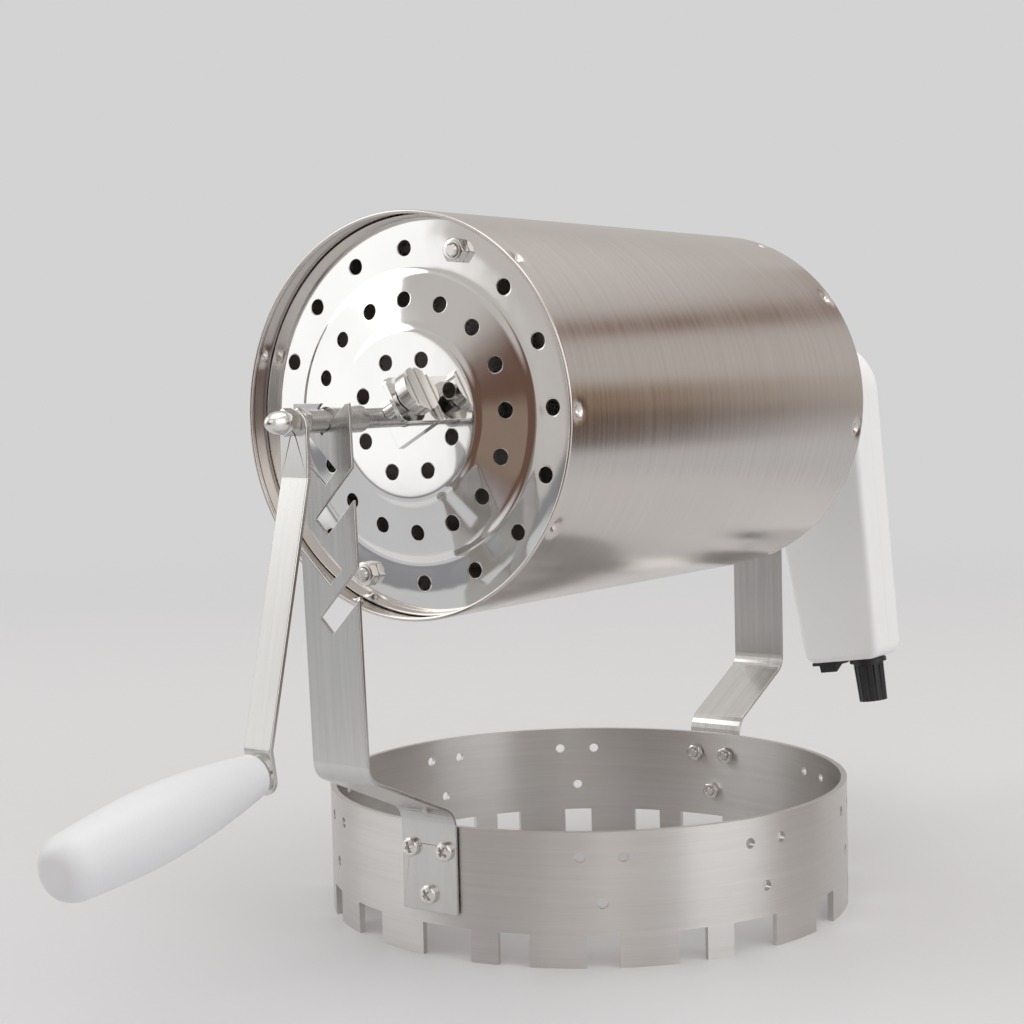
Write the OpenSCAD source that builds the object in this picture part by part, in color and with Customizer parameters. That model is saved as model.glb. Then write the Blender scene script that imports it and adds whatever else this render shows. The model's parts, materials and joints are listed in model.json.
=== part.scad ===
// Stovetop coffee bean roaster. A perforated steel drum turns over a burner on a ring with two legs,
// by a crank in front or by a drive unit that hangs on the rear end of the shaft.
// Millimetres. The origin is the centre of the base ring on the stove, Z is up, the drum turns about
// an axis along Y, and the crank is at the -Y end.

/* [Drum] */
// Diameter of the drum's sleeve
drum_d = 125; // [112:1:132]
// Length of the sleeve
drum_l = 191; // [150:1:200]
// How far the sleeve's front rim lies ahead of the ring's centre
drum_front = 98.6; // [85:0.1:100]
// Height of the drum's axis when the shaft lies in the top slots
axis_z = 169; // [155:1:190]
// Thickness of the sleeve's sheet
sleeve_t = 0.6; // [0.5:0.1:1.5]
// Length of the folded hem inside each rim
hem_l = 1.8; // [1:0.1:3]
// Turn of the drum's pattern about its axis at rest, in degrees
drum_turn = 2.5; // [-10:0.5:10]
// Radius of the round dents that hold the end plates
dent_r = 4; // [3:0.5:5]
// How far the dents stand into the drum
dent_in = 2; // [1:0.25:2.5]
// Distance along the drum from the plate's edge to the dents' centres
dent_lead = 4.2; // [4:0.1:5]

/* [End plates] */
// Thickness of the end plates
plate_t = 1; // [0.8:0.1:1.5]
// Depth of the plate's flat ring below the rim
plate_recess = 6.9; // [5:0.1:9]
// Depth of the plate's flat centre below the rim
disc_recess = 3.1; // [2:0.1:4]
// Radius of the flat centre
disc_r = 26; // [22:0.5:28]
// Radius where the cone ends and the flat ring starts
cone_r = 43.7; // [40:0.1:46]
// Radius where the flat ring ends and the border starts to fall back
flat_r = 55.6; // [54:0.1:57]
// How far the border falls back on its way to the sleeve
edge_drop = 1.5; // [0.5:0.1:2.5]
// Radius of the rounded edge that turns back into the sleeve
edge_r = 2; // [1.5:0.1:3]
// Length of the plate's straight flange behind the rounded edge
flange_l = 5; // [2:0.5:6]
// Diameter of the vent holes
vent_d = 5; // [3:0.5:6]
// Radius of the inner ring of vent holes
vent_in_r = 18.15; // [16:0.05:20]
// Radius of the middle ring of vent holes
vent_mid_r = 35.7; // [33:0.1:38]
// Radius of the outer ring of vent holes
vent_out_r = 51.4; // [49:0.1:52]
// Number of holes in the outer ring and in the middle ring
vent_n = 16; // [8:8:24]

/* [Tie rods and vanes] */
// Diameter of the two tie rods
rod_d = 4; // [3:0.5:4.5]
// Radius of the circle that the tie rods stand on
rod_r = 52.8; // [50:0.1:53]
// Length of rod that shows past each outer nut
rod_tail = 2.4; // [1:0.2:3]
// Width of the stirring vanes
vane_w = 16; // [8:1:20]
// Thickness of the vanes' sheet
vane_t = 1; // [0.8:0.1:1.5]
// Gap between each end of a vane and the nut beside it
vane_gap = 1.5; // [0.5:0.5:5]

/* [Base ring] */
// Outer diameter of the ring
ring_d = 178; // [150:1:190]
// Height of the ring
ring_h = 42; // [40:1:50]
// Thickness of the ring's sheet
ring_t = 2; // [1:0.1:2.5]
// Height of the notches in the ring's lower edge
notch_h = 10.3; // [5:0.1:12]
// Diameter of the holes for the leg screws
leg_hole_d = 3.4; // [3.2:0.1:4]
// Height of the two upper holes in each group
hole_hi_z = 34.3; // [32:0.1:36]
// Height of the lower hole in each group
hole_lo_z = 20; // [18:0.5:22]
// Distance between the two upper holes
hole_gap = 13.2; // [11:0.1:14]

/* [Legs] */
// Width of the legs' strip
leg_w = 21; // [20:0.5:26]
// Thickness of the legs' strip
leg_t = 1.2; // [1:0.1:3]
// Distance from the drum's front rim to the front leg, at the axis
front_clear = 35.3; // [34:0.1:42]
// How far the front leg leans out between its bend and the axis
front_lean = 4.1; // [0:0.1:6]
// Distance from the drum's rear rim to the rear leg
rear_clear = 32.6; // [31:0.1:45]
// Height of the bend at the foot of the upright
leg_bend_z = 63.5; // [60:0.5:75]
// Height of the lower end of the foot
foot_z = 14.5; // [13:0.5:16]
// Length of leg above the drum's axis
leg_over = 5; // [4.5:0.5:9]
// Number of slots in each leg
slot_n = 5; // [2:1:5]
// Height from each slot to the next
slot_pitch = 14.5; // [13.5:0.1:16]
// How much wider the slots are than the shaft
slot_play = 0.5; // [0.2:0.1:1]

/* [Shaft] */
// Diameter of the shaft
shaft_d = 6; // [5:0.1:6.2]
// Diameter of the threaded front end of the shaft
thread_d = 4; // [3.5:0.1:5]
// Distance from the front leg to the crank arm
arm_gap = 10.9; // [8:0.1:16]
// Outer diameter of the shaft's collars
collar_d = 8; // [7.5:0.5:12]
// Length of the shaft's collars
collar_l = 15; // [8:0.5:16]
// Gap between a collar and its leg
collar_gap = 0.9; // [0.5:0.1:2]
// Diameter of the rear hub's boss
hub_d = 14; // [11:0.5:18]
// Diameter of the rear hub's flange
hub_flange_d = 32; // [28:1:40]

/* [Lock bracket and thumb screw] */
// Angle of the bracket's wall about the shaft, in degrees from +X
bracket_at = 29; // [0:1:60]
// Width of the bracket
bracket_w = 15; // [12:0.5:18]
// Thickness of the bracket's sheet
bracket_t = 1.5; // [1:0.1:2]
// Distance from the shaft's axis to the bracket's wall
bracket_n = 9.8; // [8:0.1:12]
// Depth of the bracket in front of the plate
bracket_depth = 18.5; // [16:0.5:20]
// Diameter of the thumb screw's thread
thumb_d = 4; // [3:0.1:5]
// Diameter of the thumb screw's head
thumb_head_d = 14; // [9:0.5:16]
// Thickness of the thumb screw's head
thumb_head_h = 4; // [3:0.5:6]

/* [Crank] */
// Width of the crank arm
arm_w = 10; // [9:0.5:14]
// Thickness of the crank arm
arm_t = 1.5; // [1.2:0.1:3]
// Length of the arm's straight part below the shaft
arm_top = 16; // [12:1:25]
// Height from the shaft's axis down to the grip's axis
arm_drop = 97; // [80:1:120]
// How far the arm leans out from the shaft to the grip
arm_out = 18; // [10:1:25]
// Fall of the grip towards its outer end, in degrees
grip_fall = 9.5; // [0:0.5:12]
// Length of the grip
grip_l = 76; // [60:1:100]
// Diameter of the grip at its middle
grip_d = 20.6; // [18:0.2:26]
// Diameter of the grip's neck beside the arm
grip_neck_d = 14.5; // [13:0.1:18]
// Diameter of the grip's spindle bolt
spindle_d = 5; // [4:0.1:6]

/* [Drive unit] */
// Distance from the rear leg to the barrel of the housing
drive_gap = 20.3; // [16:0.1:24]
// Radius of the housing's barrel and of its round top
barrel_r = 23; // [22:0.5:26]
// Length of the barrel
barrel_l = 44.5; // [42:0.5:55]
// Distance from the shaft's axis down to the underside of the housing
drive_drop = 110; // [104:1:130]
// Width of the housing at its lower end
drive_w = 34; // [32:0.5:42]
// Thickness of the housing's handle from front to back
drive_depth = 24; // [23:0.5:30]
// Wall of the housing's shells
shell_t = 2; // [1.5:0.1:2.5]
// Lean of the housing away from straight down, in degrees
drive_lean = 8; // [2:0.5:10]
// Gap between the gearbox and the barrel's wall
motor_gap = 2.1; // [1:0.1:4]
// Length of the gearbox
gearbox_l = 22; // [16:0.5:26]
// Diameter of the battery cells
cell_d = 14.2; // [10:0.1:14.5]
// Length of the battery cells
cell_l = 50; // [35:0.5:51]
// Diameter of the speed knob
knob_d = 12.4; // [10:0.2:14]
// Height of the speed knob
knob_h = 17.5; // [12:0.5:22]
// Width of the switch's bezel
switch_w = 11.2; // [10.8:0.1:12]
// Distance from the shaft's axis down to the pins that straddle the rear leg
pin_drop = 30; // [27:0.5:34]

/* [Hidden] */
$fn = 64;

// Clearances and the overrun of cuts
over = 1;
fit = 0.05;
running = 0.08;
face_gap = 0.2;
seat_gap = 0.3;
lay = 0.1;

// Places worked out from the driving sizes
shaft_r = shaft_d / 2;
drum_r = drum_d / 2;
sleeve_in_r = drum_r - sleeve_t;
drum_mid = drum_l / 2 - drum_front;
ring_r = ring_d / 2;
front_leg_y = drum_front + front_clear;
rear_leg_y = drum_l - drum_front + rear_clear;
leg_out_y = rear_leg_y + leg_t;
arm_y = front_leg_y + leg_t + arm_gap;
barrel_y = leg_out_y + drive_gap;
drive_back_y = barrel_y + barrel_l;
split_y = drive_back_y - drive_depth / 2;
handle_y = drive_back_y - drive_depth;

// Threads: across flats, height and pitch place of the small nuts
m3_flats = 5.5;
m3_nut_h = 2.4;
m3_head_d = 6;
m3_head_h = 2;
m3_d = 3;
rod_flats = rod_d * 1.75;
rod_nut_h = rod_d * 0.8;
arm_nut_flats = thread_d * 1.75;
arm_nut_h = thread_d * 0.8;
dome_l = thread_d * 2.75;
corner_share = 1 / cos(30);

// Angles round the ring of the notches' centres and widths, from the notches' own axis
notch_axis = -54;
notch_at = [-73.7, -55.6, -32.8, -17.9, 0, 18.3, 33, 56.5, 79.3];
notch_arc = [6.4, 9.2, 11.6, 6.4, 6.6, 6.2, 11.2, 8.7, 6.4];
group_n = 10;

// Dents at the front rim and at the rear rim, as angles about the drum's axis
dents_front = [45, 358.5, 326, 247, 159];
dents_rear = [65, 34, 348, 295, 160, 210];
rod_at = [69.5, 248.5];

function unit(v) = v / norm(v);
function left_of(v) = [-v[1], v[0]];
function turned(v, a) = [v[0] * cos(a) - v[1] * sin(a), v[0] * sin(a) + v[1] * cos(a)];
function bend_side(a, b) = sign(a[0] * b[1] - a[1] * b[0]);
function backward(list) = [for (i = [len(list) - 1:-1:0]) list[i]];
function on_circle(a) = [cos(a), sin(a)];
function arc(centre, r, from, to, steps) =
    [for (i = [0:steps]) centre + r * on_circle(from + (to - from) * i / steps)];

// One edge of a bent strip: the path moved off to its left, each corner rounded about its own centre
function strip_edge(path, off, radii, steps) = [
    path[0] + left_of(unit(path[1] - path[0])) * off,
    for (i = [1:len(path) - 2])
        let (a = unit(path[i] - path[i - 1]),
             b = unit(path[i + 1] - path[i]),
             side = bend_side(a, b),
             bend = acos(a * b),
             r = radii[i - 1],
             centre = path[i] - a * r * tan(bend / 2) + left_of(a) * r * side)
        for (k = [0:steps]) centre + turned(-left_of(a) * side, side * bend * k / steps) * (r - side * off),
    path[len(path) - 1] + left_of(unit(path[len(path) - 1] - path[len(path) - 2])) * off
];
function strip(path, t, radii, steps = 5) =
    concat(strip_edge(path, 0, radii, steps), backward(strip_edge(path, t, radii, steps)));

// A cylinder along Y from one place to another
module rod_y(r, from, to) {
    translate([0, to, 0]) rotate([90, 0, 0]) cylinder(r = r, h = to - from);
}
// A tube along Y
module tube_y(r, bore, from, to) {
    difference() {
        rod_y(r, from, to);
        rod_y(bore, from - over, to + over);
    }
}
// A hexagonal nut along Y, with its bore
module nut_y(flats, bore, from, to) {
    difference() {
        translate([0, to, 0]) rotate([90, 0, 0]) cylinder(d = flats * corner_share, h = to - from, $fn = 6);
        rod_y(bore, from - over, to + over);
    }
}
// A shape in the X-Z plane drawn out along Y
module sheet_y(from, to) {
    translate([0, to, 0]) rotate([90, 0, 0]) linear_extrude(to - from) children();
}
// A shape in the Y-Z plane drawn out along X, centred
module sheet_x(w) {
    translate([-w / 2, 0, 0]) rotate([90, 0, 90]) linear_extrude(w) children();
}
module on_axis() {
    translate([0, 0, axis_z]) children();
}
module on_drum() {
    on_axis() rotate([0, -drum_turn, 0]) children();
}
// The same shape at both ends of the drum
module at_rear() {
    translate([0, 2 * drum_mid, 0]) mirror([0, 1, 0]) children();
}

// Base ring
foot_holes = [[-hole_gap / 2, hole_hi_z], [hole_gap / 2, hole_hi_z], [0, hole_lo_z]];

module ring_wall() {
    difference() {
        cylinder(r = ring_r, h = ring_h, $fn = 128);
        translate([0, 0, -over]) cylinder(r = ring_r - ring_t, h = ring_h + 2 * over, $fn = 128);
    }
}
module notch(at, wide) {
    reach = ring_r + over;
    depth = ring_t + 2 * over + ring_r * (1 - cos(wide));
    rotate([0, 0, at]) translate([reach - depth, -ring_r * sin(wide / 2), -over])
        cube([depth, 2 * ring_r * sin(wide / 2), notch_h + over]);
}
module base_ring() {
    color("#b9b6b1") difference() {
        ring_wall();
        for (half = [0, 180], i = [0:len(notch_at) - 1])
            notch(notch_axis + half + notch_at[i], notch_arc[i]);
        for (g = [0:group_n - 1], h = foot_holes)
            rotate([0, 0, g * 360 / group_n]) translate([h[0], 0, h[1]])
                rod_y(leg_hole_d / 2, -ring_r - over, over - ring_r + ring_t + over);
    }
}

// Legs: a strip that stands upright, slants in over the ring's edge and runs down its outside
leg_bend_r = 7;
ring_rise = 4;
// The strip's outer face, for a leg whose inner face is at y beside the axis
function leg_path(y, lean) = [
    [y + leg_t + lean * leg_over / (axis_z - leg_bend_z), axis_z + leg_over],
    [y + leg_t - lean, leg_bend_z],
    [ring_r + leg_t, ring_h + ring_rise],
    [ring_r + leg_t, foot_z]
];
slot_w = shaft_d + slot_play;
slot_foot = (shaft_r + fit) * sqrt(2);

// A slot rises at 45 degrees from its corner on the leg's centre line
module slot(height, side, y, lean) {
    translate([0, 0, height - slot_foot]) mirror([side, 0, 0]) rotate([0, -45, 0])
        translate([0, -y - leg_t - over, 0]) cube([leg_w * 2, leg_t + lean + 2 * over, slot_w]);
}
module leg(y, lean) {
    edge = strip(leg_path(y, lean), -leg_t, [leg_bend_r, leg_bend_r]);
    color("#b4b3b0") difference() {
        mirror([0, 1, 0]) sheet_x(leg_w) polygon(edge);
        for (i = [0:slot_n - 1]) slot(axis_z - i * slot_pitch, i % 2, y, lean);
        for (h = foot_holes) translate([h[0], 0, h[1]])
            rod_y(leg_hole_d / 2, -ring_r - leg_t - over, -ring_r + over);
    }
}
module front_leg() {
    leg(front_leg_y, front_lean);
}
module rear_leg() {
    mirror([0, 1, 0]) leg(rear_leg_y, 0);
}

// Leg screws and nuts
nut_reach = m3_flats * corner_share / 2;
function nut_seat(x) = sqrt(pow(ring_r - ring_t, 2) - pow(abs(x) + nut_reach, 2)) - fit;
cross_w = 0.8;
cross_l = 3.2;
cross_deep = 1.1;
screw_tail = 1;
module cross_cut(y) {
    for (a = [0, 90]) translate([0, y, 0]) rotate([0, a + 45, 0])
        cube([cross_w, 2 * cross_deep, cross_l], center = true);
}
module leg_screw(x) {
    head_y = -ring_r - leg_t;
    difference() {
        union() {
            rod_y(m3_head_d / 2, head_y - m3_head_h, head_y - lay / 2);
            rod_y(m3_d / 2, head_y - m3_head_h / 2, -nut_seat(x) + m3_nut_h + screw_tail);
        }
        cross_cut(head_y - m3_head_h);
    }
}
module at_feet() {
    for (end = [0, 1], h = foot_holes) mirror([0, end, 0]) translate([h[0], 0, h[1]]) {
        $foot_x = h[0];
        children();
    }
}
module leg_screws() {
    color("#c9c7c2") at_feet() leg_screw($foot_x);
}
module leg_nuts() {
    color("#bdbbb6") at_feet()
        nut_y(m3_flats, m3_d / 2 + fit, -nut_seat($foot_x), -nut_seat($foot_x) + m3_nut_h);
}

// Drum sleeve: a tube with a hem inside each rim and round dents pushed in near the rims
module dent_places() {
    for (a = dents_front) rotate([0, -a, 0]) translate([0, -drum_front + dent_y, 0]) children();
    for (a = dents_rear) rotate([0, -a, 0]) translate([0, drum_l - drum_front - dent_y, 0]) children();
}
dent_y = plate_recess + edge_drop - dent_lead;
dent_centre = sleeve_in_r - dent_in + dent_r;
module drum_sleeve() {
    color("#b3a79d") on_drum() difference() {
        union() {
            tube_y(drum_r, sleeve_in_r, -drum_front, drum_l - drum_front);
            for (end = [-drum_front, drum_l - drum_front - hem_l])
                tube_y(drum_r - sleeve_t / 2, sleeve_in_r - sleeve_t, end, end + hem_l);
            intersection() {
                rod_y(drum_r - sleeve_t / 2, -drum_front, drum_l - drum_front);
                dent_places() translate([dent_centre, 0, 0]) sphere(r = dent_r);
            }
        }
        dent_places() translate([dent_centre, 0, 0]) sphere(r = dent_r - sleeve_t);
    }
}

// End plates: flat centre, cone, flat ring and an edge that turns back along the sleeve
plate_r = sleeve_in_r - lay;
step_h = 0.6;
step_l = 1.4;
step_r = 1.3;
plate_path = [
    [shaft_r + lay, disc_recess],
    [disc_r, disc_recess],
    [disc_r + step_l, disc_recess + step_h],
    [cone_r, plate_recess - step_h],
    [cone_r + step_l, plate_recess],
    [flat_r, plate_recess],
    [plate_r, plate_recess + edge_drop],
    [plate_r, plate_recess + edge_drop + edge_r + flange_l]
];
border_r = 6;
plate_bends = [step_r, step_r, step_r, step_r, border_r, edge_r];
// A round hole through the plate, at an angle and a radius of the drum's own frame
module plate_hole(d, at, r) {
    rotate([0, -at, 0]) translate([r, 0, 0])
        rod_y(d / 2, -drum_front - over, -drum_front + plate_recess + over + plate_t + over);
}
module vent_ring(r, n, first) {
    for (i = [0:n - 1]) plate_hole(vent_d, first + i * 360 / n, r);
}
// The outer ring leaves out the holes that would lie under a tie rod's nut
nut_arc = asin((vent_d + rod_flats * corner_share) / 2 / vent_out_r);
function under_nut(at) = max([for (a = rod_at) cos(at + drum_turn - a)]) > cos(nut_arc);
module outer_vents() {
    for (i = [0:vent_n - 1]) if (!under_nut(i * 360 / vent_n))
        plate_hole(vent_d, i * 360 / vent_n, vent_out_r);
}
module end_plate() {
    difference() {
        translate([0, -drum_front, 0]) rotate([-90, 0, 0])
            rotate_extrude($fn = 128) polygon(strip(plate_path, plate_t, plate_bends, 6));
        outer_vents();
        for (a = rod_at) plate_hole(rod_d + 2 * fit, a - drum_turn, rod_r);
        vent_ring(vent_mid_r, vent_n, 0);
        vent_ring(vent_in_r, vent_n / 2, 180 / vent_n * 2);
    }
}
module front_plate() {
    color("#d9d8d6") on_drum() end_plate();
}
module rear_plate() {
    color("#cfcecc") on_drum() at_rear() end_plate();
}

// Tie rods from plate to plate, with a nut on each side of each plate
rod_face = -drum_front + plate_recess;
module at_rods() {
    on_axis() for (a = rod_at) rotate([0, -a, 0]) translate([rod_r, 0, 0]) children();
}
module tie_rods() {
    rod_end = rod_face - rod_nut_h - rod_tail;
    color("#a9a8a5") at_rods() rod_y(rod_d / 2, rod_end, 2 * drum_mid - rod_end);
}
// The inner nut stands off by the gap that the border's fall leaves it, with a flat side outwards
module rod_nut_pair() {
    back = rod_face + plate_t + face_gap;
    nut_y(rod_flats, rod_d / 2 + fit, rod_face - rod_nut_h, rod_face);
    rotate([0, 30, 0]) nut_y(rod_flats, rod_d / 2 + fit, back, back + rod_nut_h);
}
module tie_rod_nuts() {
    color("#c4c2bd") at_rods() {
        rod_nut_pair();
        at_rear() rod_nut_pair();
    }
}

// Stirring vanes: a strip that is rolled round the tie rod and points inwards
vane_slant = 20;
module vane() {
    eye = rod_d / 2 + lay;
    from = rod_face + plate_t + face_gap + rod_nut_h + vane_gap;
    difference() {
        union() {
            rod_y(eye + vane_t, from, 2 * drum_mid - from);
            rotate([0, -vane_slant, 0]) translate([-vane_w - eye, from, -vane_t / 2])
                cube([vane_w, 2 * drum_mid - 2 * from, vane_t]);
        }
        rod_y(eye, from - over, 2 * drum_mid - from + over);
    }
}
module stirring_vane_a() {
    color("#c2c1bd") on_axis() rotate([0, -rod_at[0], 0]) translate([rod_r, 0, 0]) vane();
}
module stirring_vane_b() {
    color("#c2c1bd") on_axis() rotate([0, -rod_at[1], 0]) translate([rod_r, 0, 0]) vane();
}

// Shaft with a threaded front end, and what sits on it between the legs
spacer_gap = 0.3;
spacer_l = arm_gap - arm_nut_h - spacer_gap;
shaft_front = -arm_y + arm_nut_h + spacer_l;
thread_share = 0.55;
thread_end = -arm_y - arm_t - dome_l * thread_share;
coupling_gap = 1.2;
coupling_d = 12;
fork_t = 1.5;
coupling_l = drive_gap - coupling_gap - fork_t - face_gap;
shaft_rear = leg_out_y + coupling_gap + coupling_l / 2 - face_gap;
module shaft() {
    color("#a6a5a2") on_axis() {
        rod_y(shaft_r, shaft_front, shaft_rear);
        rod_y(thread_d / 2, thread_end, shaft_front + over);
    }
}
grub_d = 3;
front_collar_y = -front_leg_y + collar_gap;
rear_collar_y = rear_leg_y - collar_gap - collar_l;
module collar(from) {
    color("#a9a7a3") on_axis() difference() {
        tube_y(collar_d / 2, shaft_r + fit, from, from + collar_l);
        translate([0, from + collar_l / 2, 0]) grub_hole(collar_d);
    }
}
module front_collar() {
    collar(front_collar_y);
}
module rear_collar() {
    collar(rear_collar_y);
}
// A grub screw's radial hole, and the screw in it, pointing down from the shaft
module grub_hole(d) {
    translate([0, 0, -d / 2 - over]) cylinder(d = grub_d + 2 * fit, h = d / 2 + over);
}
module grub_screw(d) {
    translate([0, 0, -d / 2 + face_gap]) cylinder(d = grub_d, h = d / 2 - face_gap - shaft_r - fit);
}
hub_from = drum_l - drum_front - disc_recess;
hub_flange_t = 1.5;
hub_l = 10;
module collar_screws() {
    color("#4d4c4a") on_axis() {
        for (y = [front_collar_y, rear_collar_y]) translate([0, y + collar_l / 2, 0]) grub_screw(collar_d);
        translate([0, hub_from + hub_flange_t + hub_l / 2, 0]) grub_screw(hub_d);
    }
}

// Rear hub: a flanged boss riveted to the rear plate, which ties the drum to the shaft
rivet_d = 3;
rivet_head_d = 5.5;
rivet_head_h = 1.2;
rivet_r = (hub_d + hub_flange_d) / 4;
rivet_at = [drum_turn, 120 + drum_turn, 240 + drum_turn];
module rear_hub() {
    color("#b0aeaa") on_axis() difference() {
        union() {
            rod_y(hub_flange_d / 2, hub_from, hub_from + hub_flange_t);
            rod_y(hub_d / 2, hub_from + hub_flange_t / 2, hub_from + hub_flange_t + hub_l);
        }
        rod_y(shaft_r + fit, hub_from - over, hub_from + hub_flange_t + hub_l + over);
        translate([0, hub_from + hub_flange_t + hub_l / 2, 0]) grub_hole(hub_d);
        for (a = rivet_at) rotate([0, -a, 0]) translate([rivet_r, 0, 0])
            rod_y(rivet_d / 2 + fit, hub_from - over, hub_from + hub_flange_t + over);
    }
}
module hub_rivets() {
    color("#b9b7b2") on_axis() for (a = rivet_at) rotate([0, -a, 0]) translate([rivet_r, 0, 0])
        rod_y(rivet_head_d / 2, hub_from + hub_flange_t, hub_from + hub_flange_t + rivet_head_h);
}

// Lock bracket: an angle that lies on the plate's centre, with a wall for the thumb screw
bracket_back = -drum_front + disc_recess;
bracket_tail_share = 0.7;
bracket_bend_r = 2;
bracket_path = [
    [-bracket_n * bracket_tail_share, bracket_back],
    [bracket_n + bracket_t, bracket_back],
    [bracket_n + bracket_t, bracket_back - bracket_depth]
];
// The bracket seen square to its wall, with the front corners rounded
bracket_corner_r = 2.5;
bracket_side = bracket_w / 2 - bracket_corner_r;
bracket_front = bracket_back - bracket_depth + bracket_corner_r;
bracket_face = concat(
    [[bracket_w / 2, bracket_back + over], [-bracket_w / 2, bracket_back + over]],
    arc([-bracket_side, bracket_front], bracket_corner_r, 180, 270, 5),
    arc([bracket_side, bracket_front], bracket_corner_r, 270, 360, 5)
);
thumb_share = 0.67;
screw_y = bracket_back - bracket_depth * thumb_share;
module on_bracket() {
    on_axis() rotate([0, -bracket_at, 0]) children();
}
module lock_bracket() {
    color("#c6c5c1") on_bracket() difference() {
        intersection() {
            translate([0, 0, -bracket_w / 2]) linear_extrude(bracket_w)
                polygon(strip(bracket_path, -bracket_t, [bracket_bend_r]));
            translate([-2 * bracket_n, 0, 0]) rotate([0, 90, 0]) linear_extrude(4 * bracket_n)
                polygon(bracket_face);
        }
        rod_y(shaft_r + lay, bracket_back - bracket_depth - over, bracket_back + over);
        translate([0, screw_y, 0]) rotate([0, 90, 0])
            cylinder(d = thumb_d + 2 * running, h = bracket_n + bracket_t + over);
    }
}
// Thumb screw: knurled head with grooves across it, a collar and a thread that bears on the shaft
thumb_collar_d = 7.5;
thumb_collar_h = 2.4;
thumb_lift = 0.3;
groove_n = 3;
groove_w = 1.2;
groove_deep = 0.7;
module groove() {
    translate([0, -groove_w / 2, -thumb_head_d / 2 - over])
        cube([groove_deep + over, groove_w, thumb_head_d + 2 * over]);
}
module thumb_screw() {
    seat = bracket_n + bracket_t + thumb_lift;
    top = seat + thumb_collar_h + thumb_head_h;
    pitch = thumb_head_d / groove_n;
    color("#cfcdc9") on_bracket() translate([0, screw_y, 0]) difference() {
        rotate([0, 90, 0]) {
            translate([0, 0, shaft_r + lay]) cylinder(d = thumb_d, h = seat + thumb_collar_h - shaft_r - lay);
            translate([0, 0, seat]) cylinder(d = thumb_collar_d, h = thumb_collar_h + fit);
            translate([0, 0, seat + thumb_collar_h]) cylinder(d = thumb_head_d, h = thumb_head_h);
        }
        for (i = [0:groove_n - 1])
            translate([top - groove_deep, (i - (groove_n - 1) / 2) * pitch, 0]) groove();
    }
}

// Crank arm: upright at the shaft, leaning out, with a tab square to the grip's axis
arm_bend_r = 3;
arm_head = 3.6;
tab_up = 6.2;
tab_down = 7;
grip_dir = [-cos(grip_fall), -sin(grip_fall)];
tab_dir = [sin(grip_fall), -cos(grip_fall)];
grip_foot = [-arm_y - arm_out, axis_z - arm_drop];
arm_path = [
    [-arm_y, axis_z + arm_head],
    [-arm_y, axis_z - arm_top],
    grip_foot - tab_dir * tab_up,
    grip_foot + tab_dir * tab_down
];
// A frame whose -Y axis is the grip's axis, at the middle of the arm's tab
module on_grip() {
    translate([0, grip_foot[0], grip_foot[1]]) rotate([grip_fall, 0, 0]) children();
}
module crank_arm() {
    color("#c9c8c4") difference() {
        sheet_x(arm_w) polygon(strip(arm_path, -arm_t, [arm_bend_r, arm_bend_r]));
        on_axis() rod_y(thread_d / 2 + fit, -arm_y - arm_t - over, -arm_y + over);
        on_grip() rod_y(spindle_d / 2 + fit, -arm_t - over, over);
        translate([0, 0, axis_z + arm_head - arm_w / 2])
            sheet_y(-arm_y - arm_t - over, -arm_y + over) end_corners();
        on_grip() translate([0, 0, arm_w / 2 - tab_down]) mirror([0, 0, 1])
            sheet_y(-arm_t - over, over) end_corners();
    }
}
// What is cut from the corners of the arm's end to leave it round
module end_corners() {
    r = arm_w / 2;
    polygon(concat(
        [[r + over, 0]],
        arc([0, 0], r, 0, 180, 12),
        [[-r - over, 0], [-r - over, r + over], [r + over, r + over]]
    ));
}
module arm_lock_nut() {
    color("#bfbdb8") on_axis() nut_y(arm_nut_flats, thread_d / 2 + fit, -arm_y, -arm_y + arm_nut_h);
}
module arm_spacer() {
    color("#a7a6a2") on_axis() tube_y(arm_nut_flats / 2, thread_d / 2 + fit, -arm_y + arm_nut_h, shaft_front);
}
// The domed nut: a short hexagon, then a nose that follows a quarter of an ellipse
dome_r = arm_nut_flats / 2;
dome_hex_share = 0.4;
nose_share = 0.62;
dome_steps = 8;
function nose_point(a) = [dome_r * cos(a), dome_l * (1 - nose_share * (1 - sin(a)))];
module dome_nut() {
    from = -arm_y - arm_t;
    color("#c2b6ab") on_axis() difference() {
        translate([0, from, 0]) rotate([90, 0, 0]) {
            cylinder(d = arm_nut_flats * corner_share, h = dome_l * dome_hex_share, $fn = 6);
            rotate_extrude() polygon(concat(
                [[0, face_gap], [dome_r, face_gap]],
                [for (i = [0:dome_steps]) nose_point(90 * i / dome_steps)]
            ));
        }
        rod_y(thread_d / 2 + fit, thread_end - face_gap, from + over);
    }
}

// Grip: turns on a bolt, whose head sits in the grip's outer end under a plug
washer_t = 1;
washer_d = 10;
grip_from = arm_t + washer_t + face_gap;
head_d = spindle_d * 1.7;
head_h = spindle_d * 0.8;
plug_h = 3;
head_deep = head_h + plug_h + 2 * face_gap;
plug_r = head_d / 2 + seat_gap;
end_round = 9;
neck_round = 3;
grip_far_share = 0.9;
grip_far_d = grip_d * grip_far_share;
// The grip's radius: a straight taper from the neck to the far end, with a belly on it
grip_belly = (2 * grip_d - grip_neck_d - grip_far_d) / 4;
function swell(s) = (grip_neck_d + (grip_far_d - grip_neck_d) * s) / 2 + grip_belly * sin(180 * s);
swell_n = 10;
function side_point(s) = [swell(s), neck_round + (grip_l - neck_round - end_round) * s];
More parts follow.
